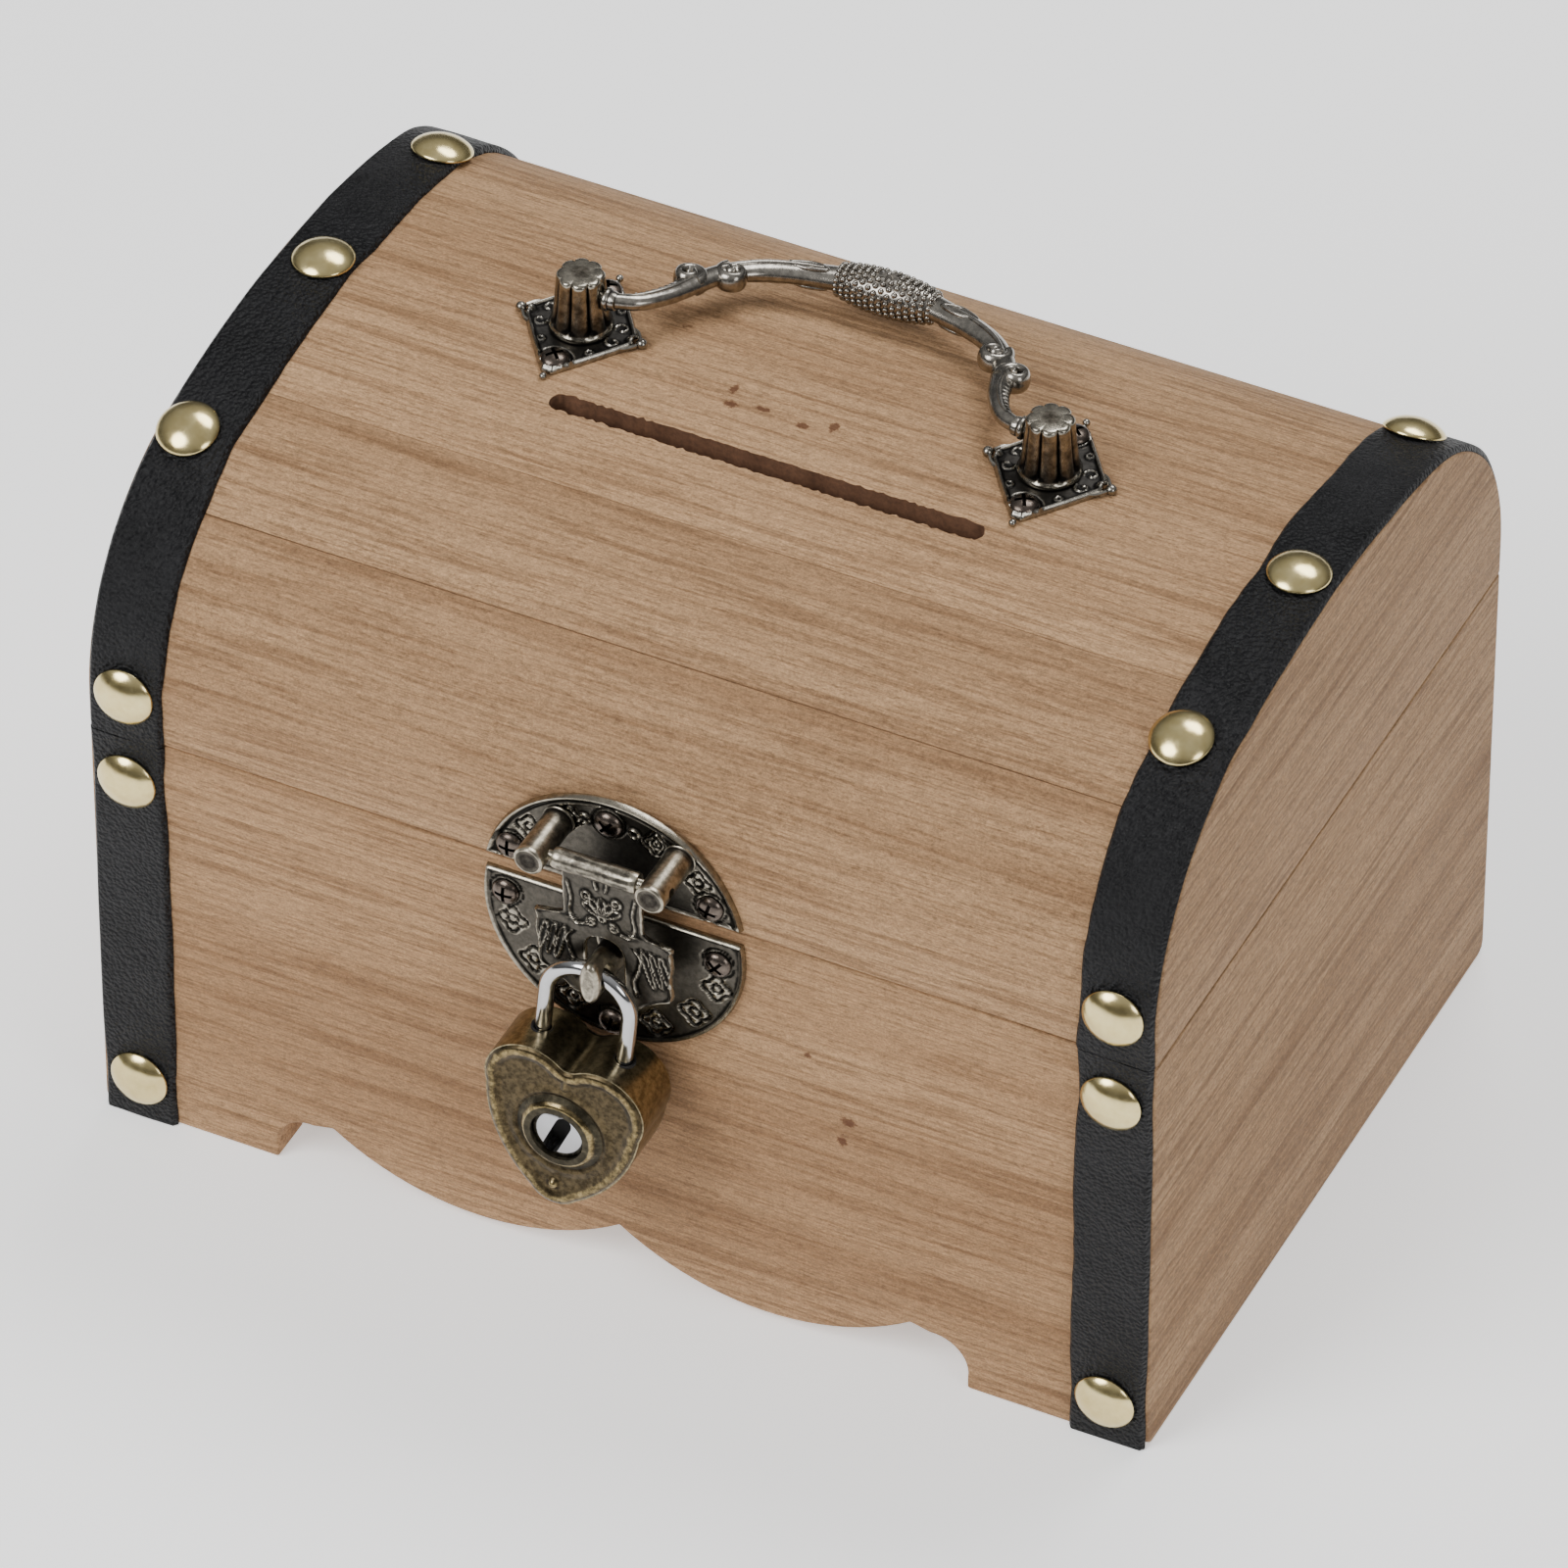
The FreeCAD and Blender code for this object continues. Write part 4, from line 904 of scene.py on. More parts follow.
def lozenge():
    """Outline of a handle plate about its own middle, with hollowed sides and blunt tips."""
    half_x, half_y = PLATE_HALF
    tips = [Vector((half_x, 0)), Vector((0, half_y)), Vector((-half_x, 0)), Vector((0, -half_y))]
    points = []
    for a, b in zip(tips, tips[1:] + tips[:1]):
        middle = (a + b) * 0.53
        for k in range(1, 20):
            t = 0.04 + 0.92 * k / 20
            points.append(a * (1 - t) ** 2 + middle * 2 * t * (1 - t) + b * t * t)
    return anticlockwise(resample(points, 200))


def plate_strokes(outline):
    """Raised rim, beads at the side tips, C-curls, rows of beads and a line round each screw."""
    half_x = PLATE_HALF[0]
    rim = inset(outline, 0.45)
    lines = [(rim + rim[:1], 0.48, 0.50)]
    for side in (-1, 1):
        lines.append((ring((side * (half_x - 1.15), 0), 0.1, 8), 1.05, 0.95))
        for up in (-1, 1):
            curl = [(side * x, up * y) for x, y in scroll((5.9, 1.6), 1.15, 200, -0.8, 0.4)]
            lines.append((curl, 0.34, 0.36))
            for k in range(3):
                spot = (side * (1.2 + 0.75 * k), up * (11.2 - 1.15 * k))
                lines.append((ring(spot, 0.08, 8), 0.50, 0.80))
            lines.append((ring((side * 3.9, up * 5.3), 0.5, 14), 0.30, 0.34))
    for up in (-1, 1):
        lines.append((ring((0, up * PLATE_SCREW), 2.5, 32), 0.26, -0.25))
    return lines


def handle_plates():
    """Embossed lozenges that follow the crown, with balls and small hooks at their tips."""
    outline = lozenge()
    strokes = plate_strokes(outline)
    ground = PLATE_TOP - PLATE_RELIEF
    hook_line = smooth_line([(9.2, 0.7), (8.2, 2.0), (7.0, 2.5)], 5)
    for label, side in SIDES:
        centre = side * POST_X

        def place(u, v, height, centre=centre):
            low = CROWN_CENTRE + math.sqrt(CROWN_RADIUS**2 - (HANDLE_LINE + v) ** 2) + 0.01
            return Vector((centre + u, HANDLE_LINE + v,
                           ground + height if height > SHEET_BACK else low))

        sheet = star_sheet(outline, (0, 0), strokes, place, rows=40)
        for way in (-1, 1):
            sheet.add(*ball(0.85, (centre + way * 9.75, HANDLE_LINE, PLATE_TOP - 0.5)))
            sheet.add(*ball(0.6, (centre, HANDLE_LINE + way * 12.4, PLATE_TOP - 0.85)))
            for up in (-1, 1):
                hook = [(centre + way * p.x, HANDLE_LINE + up * p.y, ground) for p in hook_line]
                sheet.add(*tube(hook, 0.34, 7))
        sheet.make("handle_plate_cast_" + label, PLATE, "lid", "handle_pewter",
                   ("handle_plate_" + label,), sharp=50)
    points = [(x, HANDLE_LINE + y, PLATE_TOP - 0.35) for x in (-POST_X, POST_X)
              for y in (-PLATE_SCREW, PLATE_SCREW)]
    screws("handle_screws", points, (0, 0, 1), "lid")


def post_profile():
    """(radius, height above the plate) from the flared foot to the flat top."""
    tall = POST_TOP - PLATE_TOP
    return [(0, -5.0), (1.5, -5.0), (1.5, -0.2), (4.70, -0.2), (4.78, 0.15), (4.62, 0.45),
            (4.45, 0.95), (4.30, 1.7), (4.16, 2.6), (4.02, 3.7), (3.88, 5.0), (3.76, 6.4),
            (3.66, 7.6), (3.60, 8.5), (3.56, tall - 0.35), (3.30, tall - 0.06), (2.9, tall),
            (1.4, tall), (0, tall)]


def fluting(angle, height):
    """Eight rounded ridges above the foot; the foot itself stays round."""
    foot, ridges, depth = 0.9, 8, 0.17
    if height < foot:
        return 1.0
    return 1 - depth * (1 - abs(math.sin(ridges / 2 * angle)) ** 0.55)


def handle_posts():
    """Fluted posts, each with a socket for the bail's pin in its inner side."""
    for label, side in SIDES:
        centre = side * POST_X
        post = Shape()
        post.add(*lathe(post_profile(), 96, fluting),
                 Matrix.Translation((centre, HANDLE_LINE, PLATE_TOP)))
        socket = Shape()
        socket.add(*lathe([(0, 0), (1.06, 0), (1.06, 6), (0, 6)], 24),
                   stand((centre - side * 0.6, HANDLE_LINE, PIVOT_HEIGHT), (-side, 0, 0)))
        subtract(post, socket).make("handle_post_fluted_" + label, POST, "lid", "handle_pewter",
                                    ("handle_post_" + label,), sharp=42)


ARM_ROUTE = [(32, 0), (28.9, 1.9), (26.2, 6.4), (24.6, 11.4), (22.6, 16), (18.6, 20.2), (13.2, 23),
             (7.4, 24.9)]
ARM_STEPS = 9         # steps between two points of the route
# the knot's curls: middle, radius, where the curl starts in degrees, and its turns inwards
KNOT = [((26.0, 12.2), 2.35, 215, -1.45), ((20.9, 16.4), 2.25, 45, -1.45)]
EYE_X = POST_X - 3.85
CUFF_PROFILE = [(0, 0), (1.5, 0), (1.75, 0.2), (1.75, 0.7), (1.45, 0.95), (1.5, 1.3), (1.35, 1.9),
                (0, 2.2)]
PIN_PROFILE = [(0, 0), (1.0, 0), (1.0, 4.0), (0, 4.0)]
BAIL_REACH = 24.9
BAIL_REST = -11.5     # degrees from upright
GRIP_HALF = 7.8
GRIP_RADIUS = 3.5
GRIP_END = 2.05


def arm_section(t):
    """Half width and half thickness along an arm, from the cuff to the grip."""
    knot_start, knot_end = 0.42, 0.55
    if t < knot_start:
        return 1.15 + 0.65 * (t / knot_start) ** 1.2, 1.2 + 0.35 * t
    swell = max(t - knot_end, 0) / (1 - knot_end)
    return 1.8 + 0.55 * swell**1.5, 1.4 + 0.3 * swell


def snail(side, middle, radius, start, turns):
    """Curl that winds in to a bead, thick enough to show on both faces."""
    shape = Shape()
    curl = [Vector((side * x, y, 0)) for x, y in scroll(middle, radius, start, turns, 0.20, 40)]
    shape.add(*tube(curl, lambda t: (0.98 - 0.42 * t, 1.55 + 0.25 * t), 16, normal=Z_AXIS))
    shape.add(*ball(0.62, (side * middle[0], middle[1], 0), (1, 1, 2.9), 10, 16))
    return shape


def arm_ribs(line, side):
    """Fine ribs on the hollow side of the lower curve."""
    shape = Shape()
    for k in range(8, 30, 2):
        spot = line[k]
        along = (line[k + 1] - spot).normalized()
        outward = Vector((along.y, -along.x, 0)) * side
        half = arm_section(k / len(line))[0]
        rib = [spot + outward * (half * math.cos(a)) + Z_AXIS * (1.26 * math.sin(a))
               for a in np.linspace(-1.2, 1.2, 11)]
        shape.add(*tube(rib, 0.17, 6))
    return shape


def arm_lines(line, side, face):
    """One face's raised line on the lower curve, and the ridge and leaf on the flattened part."""
    shape = Shape()
    crest = [p + Z_AXIS * (face * 1.22) for p in line[6:30]]
    shape.add(*tube(crest, lambda t: 0.30 * math.sin(math.pi * (0.1 + 0.8 * t)) + 0.06, 8))
    ridge = [p + Z_AXIS * (face * (1.36 + 0.2 * k / 26)) for k, p in enumerate(line[36:-4])]
    shape.add(*tube(ridge, lambda t: 0.38 * math.sin(math.pi * (0.08 + 0.84 * t)) + 0.08, 8))
    leaf = [(9.2, 23.6, 1.52), (11.6, 24.8, 1.30), (15.0, 23.1, 1.30), (12.4, 22.4, 1.52)]
    leaf = smooth_line([(side * x, y, face * z) for x, y, z in leaf], 7, closed=True)
    shape.add(*tube(leaf, 0.34, 8, closed=True))
    return shape


def bail_arm(side):
    """One arm with its pin and cuff, ribs, raised lines and a knot of two curls."""
    shape = Shape()
    line = smooth_line([(side * x, y, 0) for x, y in ARM_ROUTE], ARM_STEPS)
    shape.add(*tube(line, arm_section, 20, normal=Z_AXIS))
    shape.add(*lathe(PIN_PROFILE, 24), stand((side * (EYE_X - 0.6), 0, 0), (side, 0, 0)))
    shape.add(*lathe(CUFF_PROFILE, 28), stand((side * EYE_X, 0, 0), (-side, 0, 0)))
    shape.merge(arm_ribs(line, side))
    for face in (-1, 1):
        shape.merge(arm_lines(line, side, face))
    for curl in KNOT:
        shape.merge(snail(side, *curl))
    return shape


def bail_grip():
    """Barrel of small beads that tapers to the arms, with a little star on each face."""
    shape = Shape()
    half, radius = GRIP_HALF, GRIP_RADIUS - 0.36
    rows, beads, bead = 15, 18, 0.47

    def barrel(t):
        return GRIP_END + (radius - GRIP_END) * (1 - (t / half) ** 2) ** 0.8

    body = [(barrel(t) - 0.08, t) for t in np.linspace(-half, half, 31)]
    shape.add(*lathe([(0, -half - 0.3), *body, (0, half + 0.3)], 32),
              stand((0, BAIL_REACH, 0), X_AXIS))
    for row, x in enumerate(np.linspace(-half + 0.4, half - 0.4, rows)):
        for k in range(beads):
            angle = 2 * math.pi * (k + 0.5 * (row % 2)) / beads
            y = barrel(x) * math.cos(angle)
            z = barrel(x) * math.sin(angle)
            under_star = abs(z) > 0.5 * radius and x * x + y * y < 3.4
            if not under_star:
                shape.add(*ball(bead, (x, BAIL_REACH + y, z), rows=6, segments=9))
    for face in (-1, 1):
        shape.merge(grip_star(face, radius - 0.15, GRIP_RADIUS - 0.02))
    return shape


def grip_star(face, foot, top):
    """Eight-pointed star with a bead in its middle."""
    tips = 16
    shape = Shape()
    rim = []
    for k in range(tips):
        angle = 2 * math.pi * k / tips
        reach = 0.8 if k % 2 else 1.75
        rim.append(Vector((reach * math.cos(angle), BAIL_REACH + reach * math.sin(angle), face * foot)))
    verts = rim + [Vector((0, BAIL_REACH, face * top)), Vector((0, BAIL_REACH, 0))]
    faces = [[k, (k + 1) % tips, tips] for k in range(tips)]
    faces += [[(k + 1) % tips, k, tips + 1] for k in range(tips)]
    shape.add(verts, faces)
    shape.add(*ball(0.42, (0, BAIL_REACH, face * (top - 0.3))))
    return shape


def bail():
    """Cast handle, leaning back on its pins."""
    shape = bail_grip()
    for side in (-1, 1):
        shape.merge(bail_arm(side))
    lie = (Matrix.Translation((0, HANDLE_LINE, PIVOT_HEIGHT))
           @ Matrix.Rotation(math.radians(BAIL_REST), 4, "X"))
    shape.make("handle_bail_cast", PEWTER, "bail", "handle_pewter", ("handle_bail",), sharp=55,
               matrix=lie)


# ---------------------------------------------------------------- hasp

UPPER_CENTRE = 70.9
LOWER_CENTRE = 68.2
HASP_R = 20.8
HASP_SHIFT = 1.2
PLATE_FACE = HALF_DEPTH + 1
HASP_RELIEF = 0.35
UPPER_EDGE = 75
LOWER_EDGE = 72.2
PIN_Z = 85.5
PIN_OUT = 68.2
EYE_Z = 65.9
EYE_OUT = 68.4
UPPER_SCREWS = [(-16.4, 77.6), (-0.6, 87.6), (15.4, 77.8)]
LOWER_SCREWS = [(-17.2, 68.4), (16.6, 67.6), (-0.3, 50)]
UPPER_MOTIFS = [(-6.9, 86.4), (6.9, 86.4), (-13.4, 82.0), (13.4, 81.6)]
LOWER_MOTIFS = [(-16.3, 63.2), (16.3, 62.6), (-12.8, 56.9), (12.8, 56.7), (-6.7, 52.3), (6.6, 52.2)]


def segment_outline(edge, upper):
    """Part of a round plate above or below a straight edge."""
    centre = UPPER_CENTRE if upper else LOWER_CENTRE
    rise = math.degrees(math.asin((edge - centre) / HASP_R))
    start, end = (rise, 180 - rise) if upper else (180 - rise, 360 + rise)
    return anticlockwise(resample(arc((0, centre), HASP_R, start, end, 80), 260))


def quatrefoil(centre, size):
    """Engraved four-lobed outline round a small circle."""
    x, y = centre
    outline = []
    for k in range(41):
        angle = 2 * math.pi * k / 40
        reach = size * (1 + 0.20 * math.cos(4 * angle))
        outline.append((x + reach * math.cos(angle), y + reach * math.sin(angle)))
    return [outline, ring((x, y), 0.42 * size, 14)]


def engraving(outline, rim_half, rim_height, motifs, size, screw_places):
    """Raised rim, engraved quatrefoils and a line round each screw."""
    rim = inset(outline, HASP_RELIEF)
    lines = [(rim + rim[:1], rim_half, rim_height)]
    for centre in motifs:
        lines += [(line, 0.27, -0.5) for line in quatrefoil(centre, size)]
    lines += [(ring(place, 2.6, 28), 0.24, -0.25) for place in screw_places]
    return lines


def hasp_plates():
    """Round plate in two halves, one on the lid and one on the base, with their screws."""
    def place(u, v, height):
        out = PLATE_FACE - HASP_RELIEF + height if height > SHEET_BACK else HALF_DEPTH + 0.01
        return Vector((u, -out, v))

    upper = segment_outline(UPPER_EDGE, True)
    lower = segment_outline(LOWER_EDGE, False)
    upper_lines = engraving(upper, 0.42, 0.45, UPPER_MOTIFS, 1.75, UPPER_SCREWS)
    upper_lines.append((arc((0, UPPER_CENTRE), 19.6, 16, 164, 60), 0.28, -0.25))
    upper_lines += [(ring((x, 87.2), 0.75, 18), 0.34, 0.42) for x in (-4.4, 3.4)]
    lower_lines = engraving(lower, 0.38, 0.40, LOWER_MOTIFS, 1.95, LOWER_SCREWS)
    for name, outline, lines, middle, body in (
            ("hasp_plate_upper", upper, upper_lines, (0, 80.5), "lid"),
            ("hasp_plate_lower", lower, lower_lines, (0, 62), "base")):
        sheet = star_sheet(outline, middle, lines, place, rows=52)
        sheet.make(name + "_chased", HASP, body, "hasp_bronze", (name,), sharp=50)
    for half, places, body in (("upper", UPPER_SCREWS, "lid"), ("lower", LOWER_SCREWS, "base")):
        points = [(x, -PLATE_FACE + 0.25, z) for x, z in places]
        screws("hasp_screws_" + half, points, (0, -1, 0), body)


LUG_X = 9.6
LUG_PROFILE = [(0, -1), (1.2, -1), (1.2, 0.9), (2.5, 0.9), (2.5, 1.15),
               *[(2.3, 1.35 + 0.65 * k) for k in range(14)],
               (2.32, 10.2), (2.35, 10.5), (2.28, 10.8), (2.0, 11.0), (1.8, 10.97), (1.1, 10.9),
               (0, 10.9)]


def hasp_lugs():
    """Two turned posts with flat chamfered faces, and the pin through them."""
    shape = Shape()
    for side in (-1, 1):
        x = HASP_SHIFT + side * LUG_X
        blank = Shape()
        blank.add(*lathe(LUG_PROFILE, 40), stand((x, -HALF_DEPTH, PIN_Z), (0, -1, 0)))
        hole = Shape()
        hole.add(*lathe([(0, -5), (0.9, -5), (0.9, 5), (0, 5)], 20),
                 stand((x, -PIN_OUT, PIN_Z), X_AXIS))
        shape.merge(subtract(blank, hole))
    # the lugs take the lighter bronze copy: painted highlight
    shape.make("hasp_lugs_turned", HASP_LIT, "lid", "hasp_bronze", ("hasp_lugs",), sharp=36)
    softened("hasp_pin", HASP, 0.15, "lid")


# (height, half width) of the tongue's sheet, from its foot up
TONGUE_WIDTHS = [(58.5, 4.6), (59.0, 5.6), (60.0, 6.6), (61.6, 9.0), (62.2, 10.5), (63.4, 10.85),
                 (66, 10.6), (69, 11.0), (71.6, 10.8), (72.6, 11.1), (73.0, 10.4), (73.5, 7.3),
                 (73.9, 6.35), (86, 6.3)]
TONGUE_FOOT = TONGUE_WIDTHS[0][0]
TONGUE_OUT = 67.55
TONGUE_LEAN = 0.0625
TONGUE_PLACE = Matrix.Translation((HASP_SHIFT, 0, 0))


def tongue_half_width(z):
    """Half width of the tongue's sheet at one height, with a slightly uneven edge."""
    return np.interp(z, *zip(*TONGUE_WIDTHS)) + 0.10 * noise.noise(Vector((7, 3, z * 0.9)))


def tongue_face(z):
    """How far out the front of the sheet lies at one height; it leans back towards its foot."""
    return TONGUE_OUT - TONGUE_LEAN * (PIN_Z - z)


def oval(root, degrees, away, long, wide, steps):
    """Long loop round a point some way from a root, in the direction it lies along."""
    lean = math.radians(degrees)
    along = Vector((math.cos(lean), math.sin(lean)))
    across = Vector((-along.y, along.x))
    return [Vector(root) + along * (away + long * math.cos(t)) + across * (wide * math.sin(t))
            for t in np.linspace(0, 2 * math.pi, steps)]


def tongue_strokes():
    """Flower of petals over two curls on the neck, scrolls by the slot and ribbons on the wings."""
    lines = [(oval((0, 75.4), degrees, 1.9, 1.5, 0.62, 15), 0.26, 0.34)
             for degrees in (30, 60, 90, 120, 150)]
    lines.append((ring((0, 75.0), 0.5, 12), 0.40, 0.42))
    for line in mirrored([
            scroll((2.3, 78.8), 0.95, 250, 1.2, 0.25), scroll((1.8, 73.6), 0.9, 120, -1.2, 0.25),
            smooth_line([(5.4, 80.4), (4.9, 77.4), (5.2, 74.6), (4.3, 72.7), (2.9, 73.0)], 6),
            smooth_line([(5.0, 70.6), (5.9, 69.2), (5.4, 66.4), (4.6, 64.0), (5.2, 61.4)], 6),
            smooth_line([(0.7, 80.6), (1.0, 82.2), (0.4, 83.2)], 5)]):
        lines.append((line, 0.30, 0.40))
    for side in (-1, 1):
        for k in range(3):
            root = (side * (7.0 + 1.35 * k), 67.6 + 0.2 * k)
            lines.append((oval(root, 90 + side * 14, 0, 3.6 - 0.3 * k, 0.46, 21), 0.24, 0.34))
    edge = [(tongue_half_width(z) - 0.3, z) for z in np.linspace(59.0, 73.6, 40)]
    lines += [(line, 0.32, 0.25) for line in mirrored([edge])]
    return lines


def tongue_sheet():
    """Stamped sheet with a slot that is open at the bottom."""
    hole_z, hole_r, thick, ground, edge_drop = 68.0, 3.0, 0.95, 0.3, 0.22
    strokes = tongue_strokes()
    shape = Shape()

    def strip(heights, left, right, columns, caps):
        grid = []
        for z in heights:
            a, b = left(z), right(z)
            grid.append([(a + (b - a) * k / columns, z) for k in range(columns + 1)])
        tall = relief([p for row in grid for p in row], strokes).reshape(len(grid), -1)
        tall[:, [0, -1]] -= edge_drop
        rows = []
        for row, lifts in zip(grid, tall):
            front = [Vector((x, -(tongue_face(z) - ground + lift), z))
                     for (x, z), lift in zip(row, lifts)]
            back = [Vector((x, -(tongue_face(z) - thick), z)) for x, z in row]
            rows.append(front + back[::-1])
        shape.add(*rings(rows, caps))

    def right_of_slot(z):
        return math.sqrt(max(hole_r**2 - max(z - hole_z, 0) ** 2, 0))

    def left_of_slot(z):
        return -right_of_slot(z)

    def left_edge(z):
        return -tongue_half_width(z)

    neck = np.linspace(PIN_Z, hole_z + hole_r, 54)
    strip(neck, left_edge, tongue_half_width, 64, (True, False))
    legs = np.concatenate([hole_z + hole_r * np.cos(np.linspace(0, math.pi / 2, 14)),
                           np.linspace(hole_z, TONGUE_FOOT, 26)[1:]])
    strip(legs, left_edge, left_of_slot, 32, (False, True))
    strip(legs, right_of_slot, tongue_half_width, 32, (False, True))
    shape.make("hasp_tongue_stamped", HASP, "tongue", "hasp_bronze", ("hasp_tongue",), sharp=50,
               matrix=TONGUE_PLACE)


def tongue_barrel():
    """Barrel rolled round the pin, with the seam where the sheet's end laps over it."""
    half, turned_in, bore, seam_angle = 6.6, 6.35, 0.97, 128
    turns = [2 * math.pi * k / 40 for k in range(40)]

    def round_pin(x, radii):
        return [Vector((x, -PIN_OUT - r * math.cos(t), PIN_Z + r * math.sin(t)))
                for r, t in zip(radii, turns)]

    def outside(x, t):
        streak = 0.05 * noise.noise(Vector((x * 0.25, math.cos(t) * 3, math.sin(t) * 3)))
        seam = 0.16 * math.exp(-((math.degrees(t) - seam_angle) / 7) ** 2)
        return (1.52 if abs(x) > turned_in else 1.65) + streak - seam

    rows = [round_pin(x, [outside(x, t) for t in turns]) for x in np.linspace(-half, half, 34)]
    rows += [round_pin(x, [bore] * len(turns)) for x in np.linspace(half, -half, 6)]
    rows.append(rows[0])
    shape = Shape()
    shape.add(*rings(rows, (False, False)))
    # the barrel takes the lighter bronze copy: painted highlight
    shape.make("hasp_tongue_barrel", HASP_LIT, "tongue", "hasp_bronze", (), sharp=50,
               matrix=TONGUE_PLACE)


# (distance out, half width, half height) along the staple
STAPLE_STATIONS = [(60.5, 3.6, 3.6), (61.4, 3.6, 3.6), (61.7, 2.4, 2.4), (65.0, 2.3, 2.3),
                   (65.8, 2.0, 3.1), (66.8, 1.68, 3.6), (68.4, 1.64, 3.78), (69.9, 1.64, 3.78),
                   (70.7, 1.64, 3.7), (71.15, 1.46, 3.45), (71.4, 1.1, 3.0), (71.3, 0.8, 2.6)]


def staple():
    """Round stud whose end is hammered into an upright oval with an eye through it."""
    turns = np.linspace(0, 2 * math.pi, 41)[:-1]
    blank = Shape()
    blank.add(*rings([[(HASP_SHIFT + half_x * math.cos(t), -out, EYE_Z + half_z * math.sin(t))
                       for t in turns] for out, half_x, half_z in STAPLE_STATIONS]))
    hole = Shape()
    hole.add(*lathe([(0, -6), (2.1, -6), (2.1, 6), (0, 6)], 32),
             stand((0, -EYE_OUT, EYE_Z), X_AXIS))
    # the staple takes the lighter bronze copy: painted highlight
    subtract(blank, hole).make("hasp_staple_forged", HASP_LIT, "base", "hasp_bronze",
                               ("hasp_staple",), sharp=40)


# ---------------------------------------------------------------- padlock

LOCK_FRAME = (Matrix.Translation((0.4, -EYE_OUT, EYE_Z + 0.2))
              @ Matrix.Rotation(math.radians(6), 4, "Y"))
LOCK_FRONT = 5
BOSS_RISE = 1.3
PLUG_Z = -28.4
PLUG_RADIUS = 3.7
PLUG_HEAD = 4.2
CROWN = 6.6
WIRE = 1.25
LOBE = (5.6, -21.6, 7.2)     # x, z and radius of the heart's right lobe
TIP = -42.8
FLANK = (9.7, -33.6)
CLEFT_HALF = 1.4
# (radius, height) of the face round the plug: a rounded ring, its slope, a groove and a bead
BOSS_HEIGHTS = [(4.28, 1.12), (4.45, 1.26), (4.8, 1.32), (5.2, 1.30), (5.5, 1.18), (5.8, 0.92),
                (6.1, 0.60), (6.4, 0.28), (6.8, 0.06), (7.1, 0.18), (7.5, 0.34), (7.9, 0.26),
                (8.6, 0.10), (30, 0.10)]
BOSS_REACH = 7.2
RIM_IN = 1.15


def through(points, steps):
    """Circle arc through three points."""
    a, b, c = (Vector(p) for p in points)
    d = 2 * (a.x * (b.y - c.y) + b.x * (c.y - a.y) + c.x * (a.y - b.y))
    ux = (a.dot(a) * (b.y - c.y) + b.dot(b) * (c.y - a.y) + c.dot(c) * (a.y - b.y)) / d
    uy = (a.dot(a) * (c.x - b.x) + b.dot(b) * (a.x - c.x) + c.dot(c) * (b.x - a.x)) / d
    centre = Vector((ux, uy))
    turns = [math.atan2(p.y - uy, p.x - ux) for p in (a, b, c)]
    full = 2 * math.pi
    sweep = (turns[2] - turns[0]) % full
    if (turns[1] - turns[0]) % full > sweep:
        sweep -= full
    radius = (a - centre).length
    return [centre + Vector((math.cos(turns[0] + sweep * k / steps),
                             math.sin(turns[0] + sweep * k / steps))) * radius
            for k in range(steps)]


def heart_outline():
    """Two round lobes with a soft cleft, and bowed sides that meet in a blunt tip."""
    x, z, radius = LOBE
    lean = math.radians(20)
    low, low_half = TIP + 1.8, 3.6
    start = math.degrees(math.atan2(math.sqrt(radius**2 - (x - CLEFT_HALF) ** 2), CLEFT_HALF - x))
    right = [Vector(p) for p in arc((x, z), radius, start, -math.degrees(lean), 40)]
    shoulder = Vector((x + radius * math.cos(lean), z - radius * math.sin(lean)))
    right += through([shoulder, FLANK, (low_half, low)], 24)[1:]
    right += through([(low_half, low), (0, TIP), (-low_half, low)], 16)[:8]
    left = [Vector((-p.x, p.y)) for p in right][::-1]
    dip = Vector((0, right[0].y - 0.5))
    saddle = through([left[-1], dip, right[0]], 10)[1:]
    return anticlockwise(resample(right + [Vector((0, TIP))] + left + saddle, 280))


def boss_height(r):
    """Height of the padlock's face at a distance from the middle of the plug."""
    return np.interp(r, *zip(*BOSS_HEIGHTS))


def padlock_face():
    """Embossed front of the heart: worn rim bead with a painted highlight, short cleft line, stepped
    rings, a small bump.
    """
    outline = heart_outline()
    rim = inset(outline, RIM_IN)
    cleft = outline[0].y - 0.4
    strokes = [(rim + rim[:1], 1.5, 0.55),
               (smooth_line([(0, cleft - 1.6), (0, cleft - 3.2)], 4), 0.8, 0.45),
               (ring((0, TIP + 4.0), 0.2, 10), 1.0, 0.85)]

    def place(u, v, height):
        return Vector((u, -(LOCK_FRONT - 0.03 + height), v))

    skin = star_sheet(outline, (0, PLUG_Z), strokes, place, rows=60, thick=0.3, edge=0.4,
                      hole=PLUG_HEAD + 0.06, dome=boss_height)
    cast = skin.make("padlock_face_cast", LOCK, "lock_case", "padlock_brass", (), sharp=60,
                     matrix=LOCK_FRAME)
    rub_and_highlight_face(cast.data)


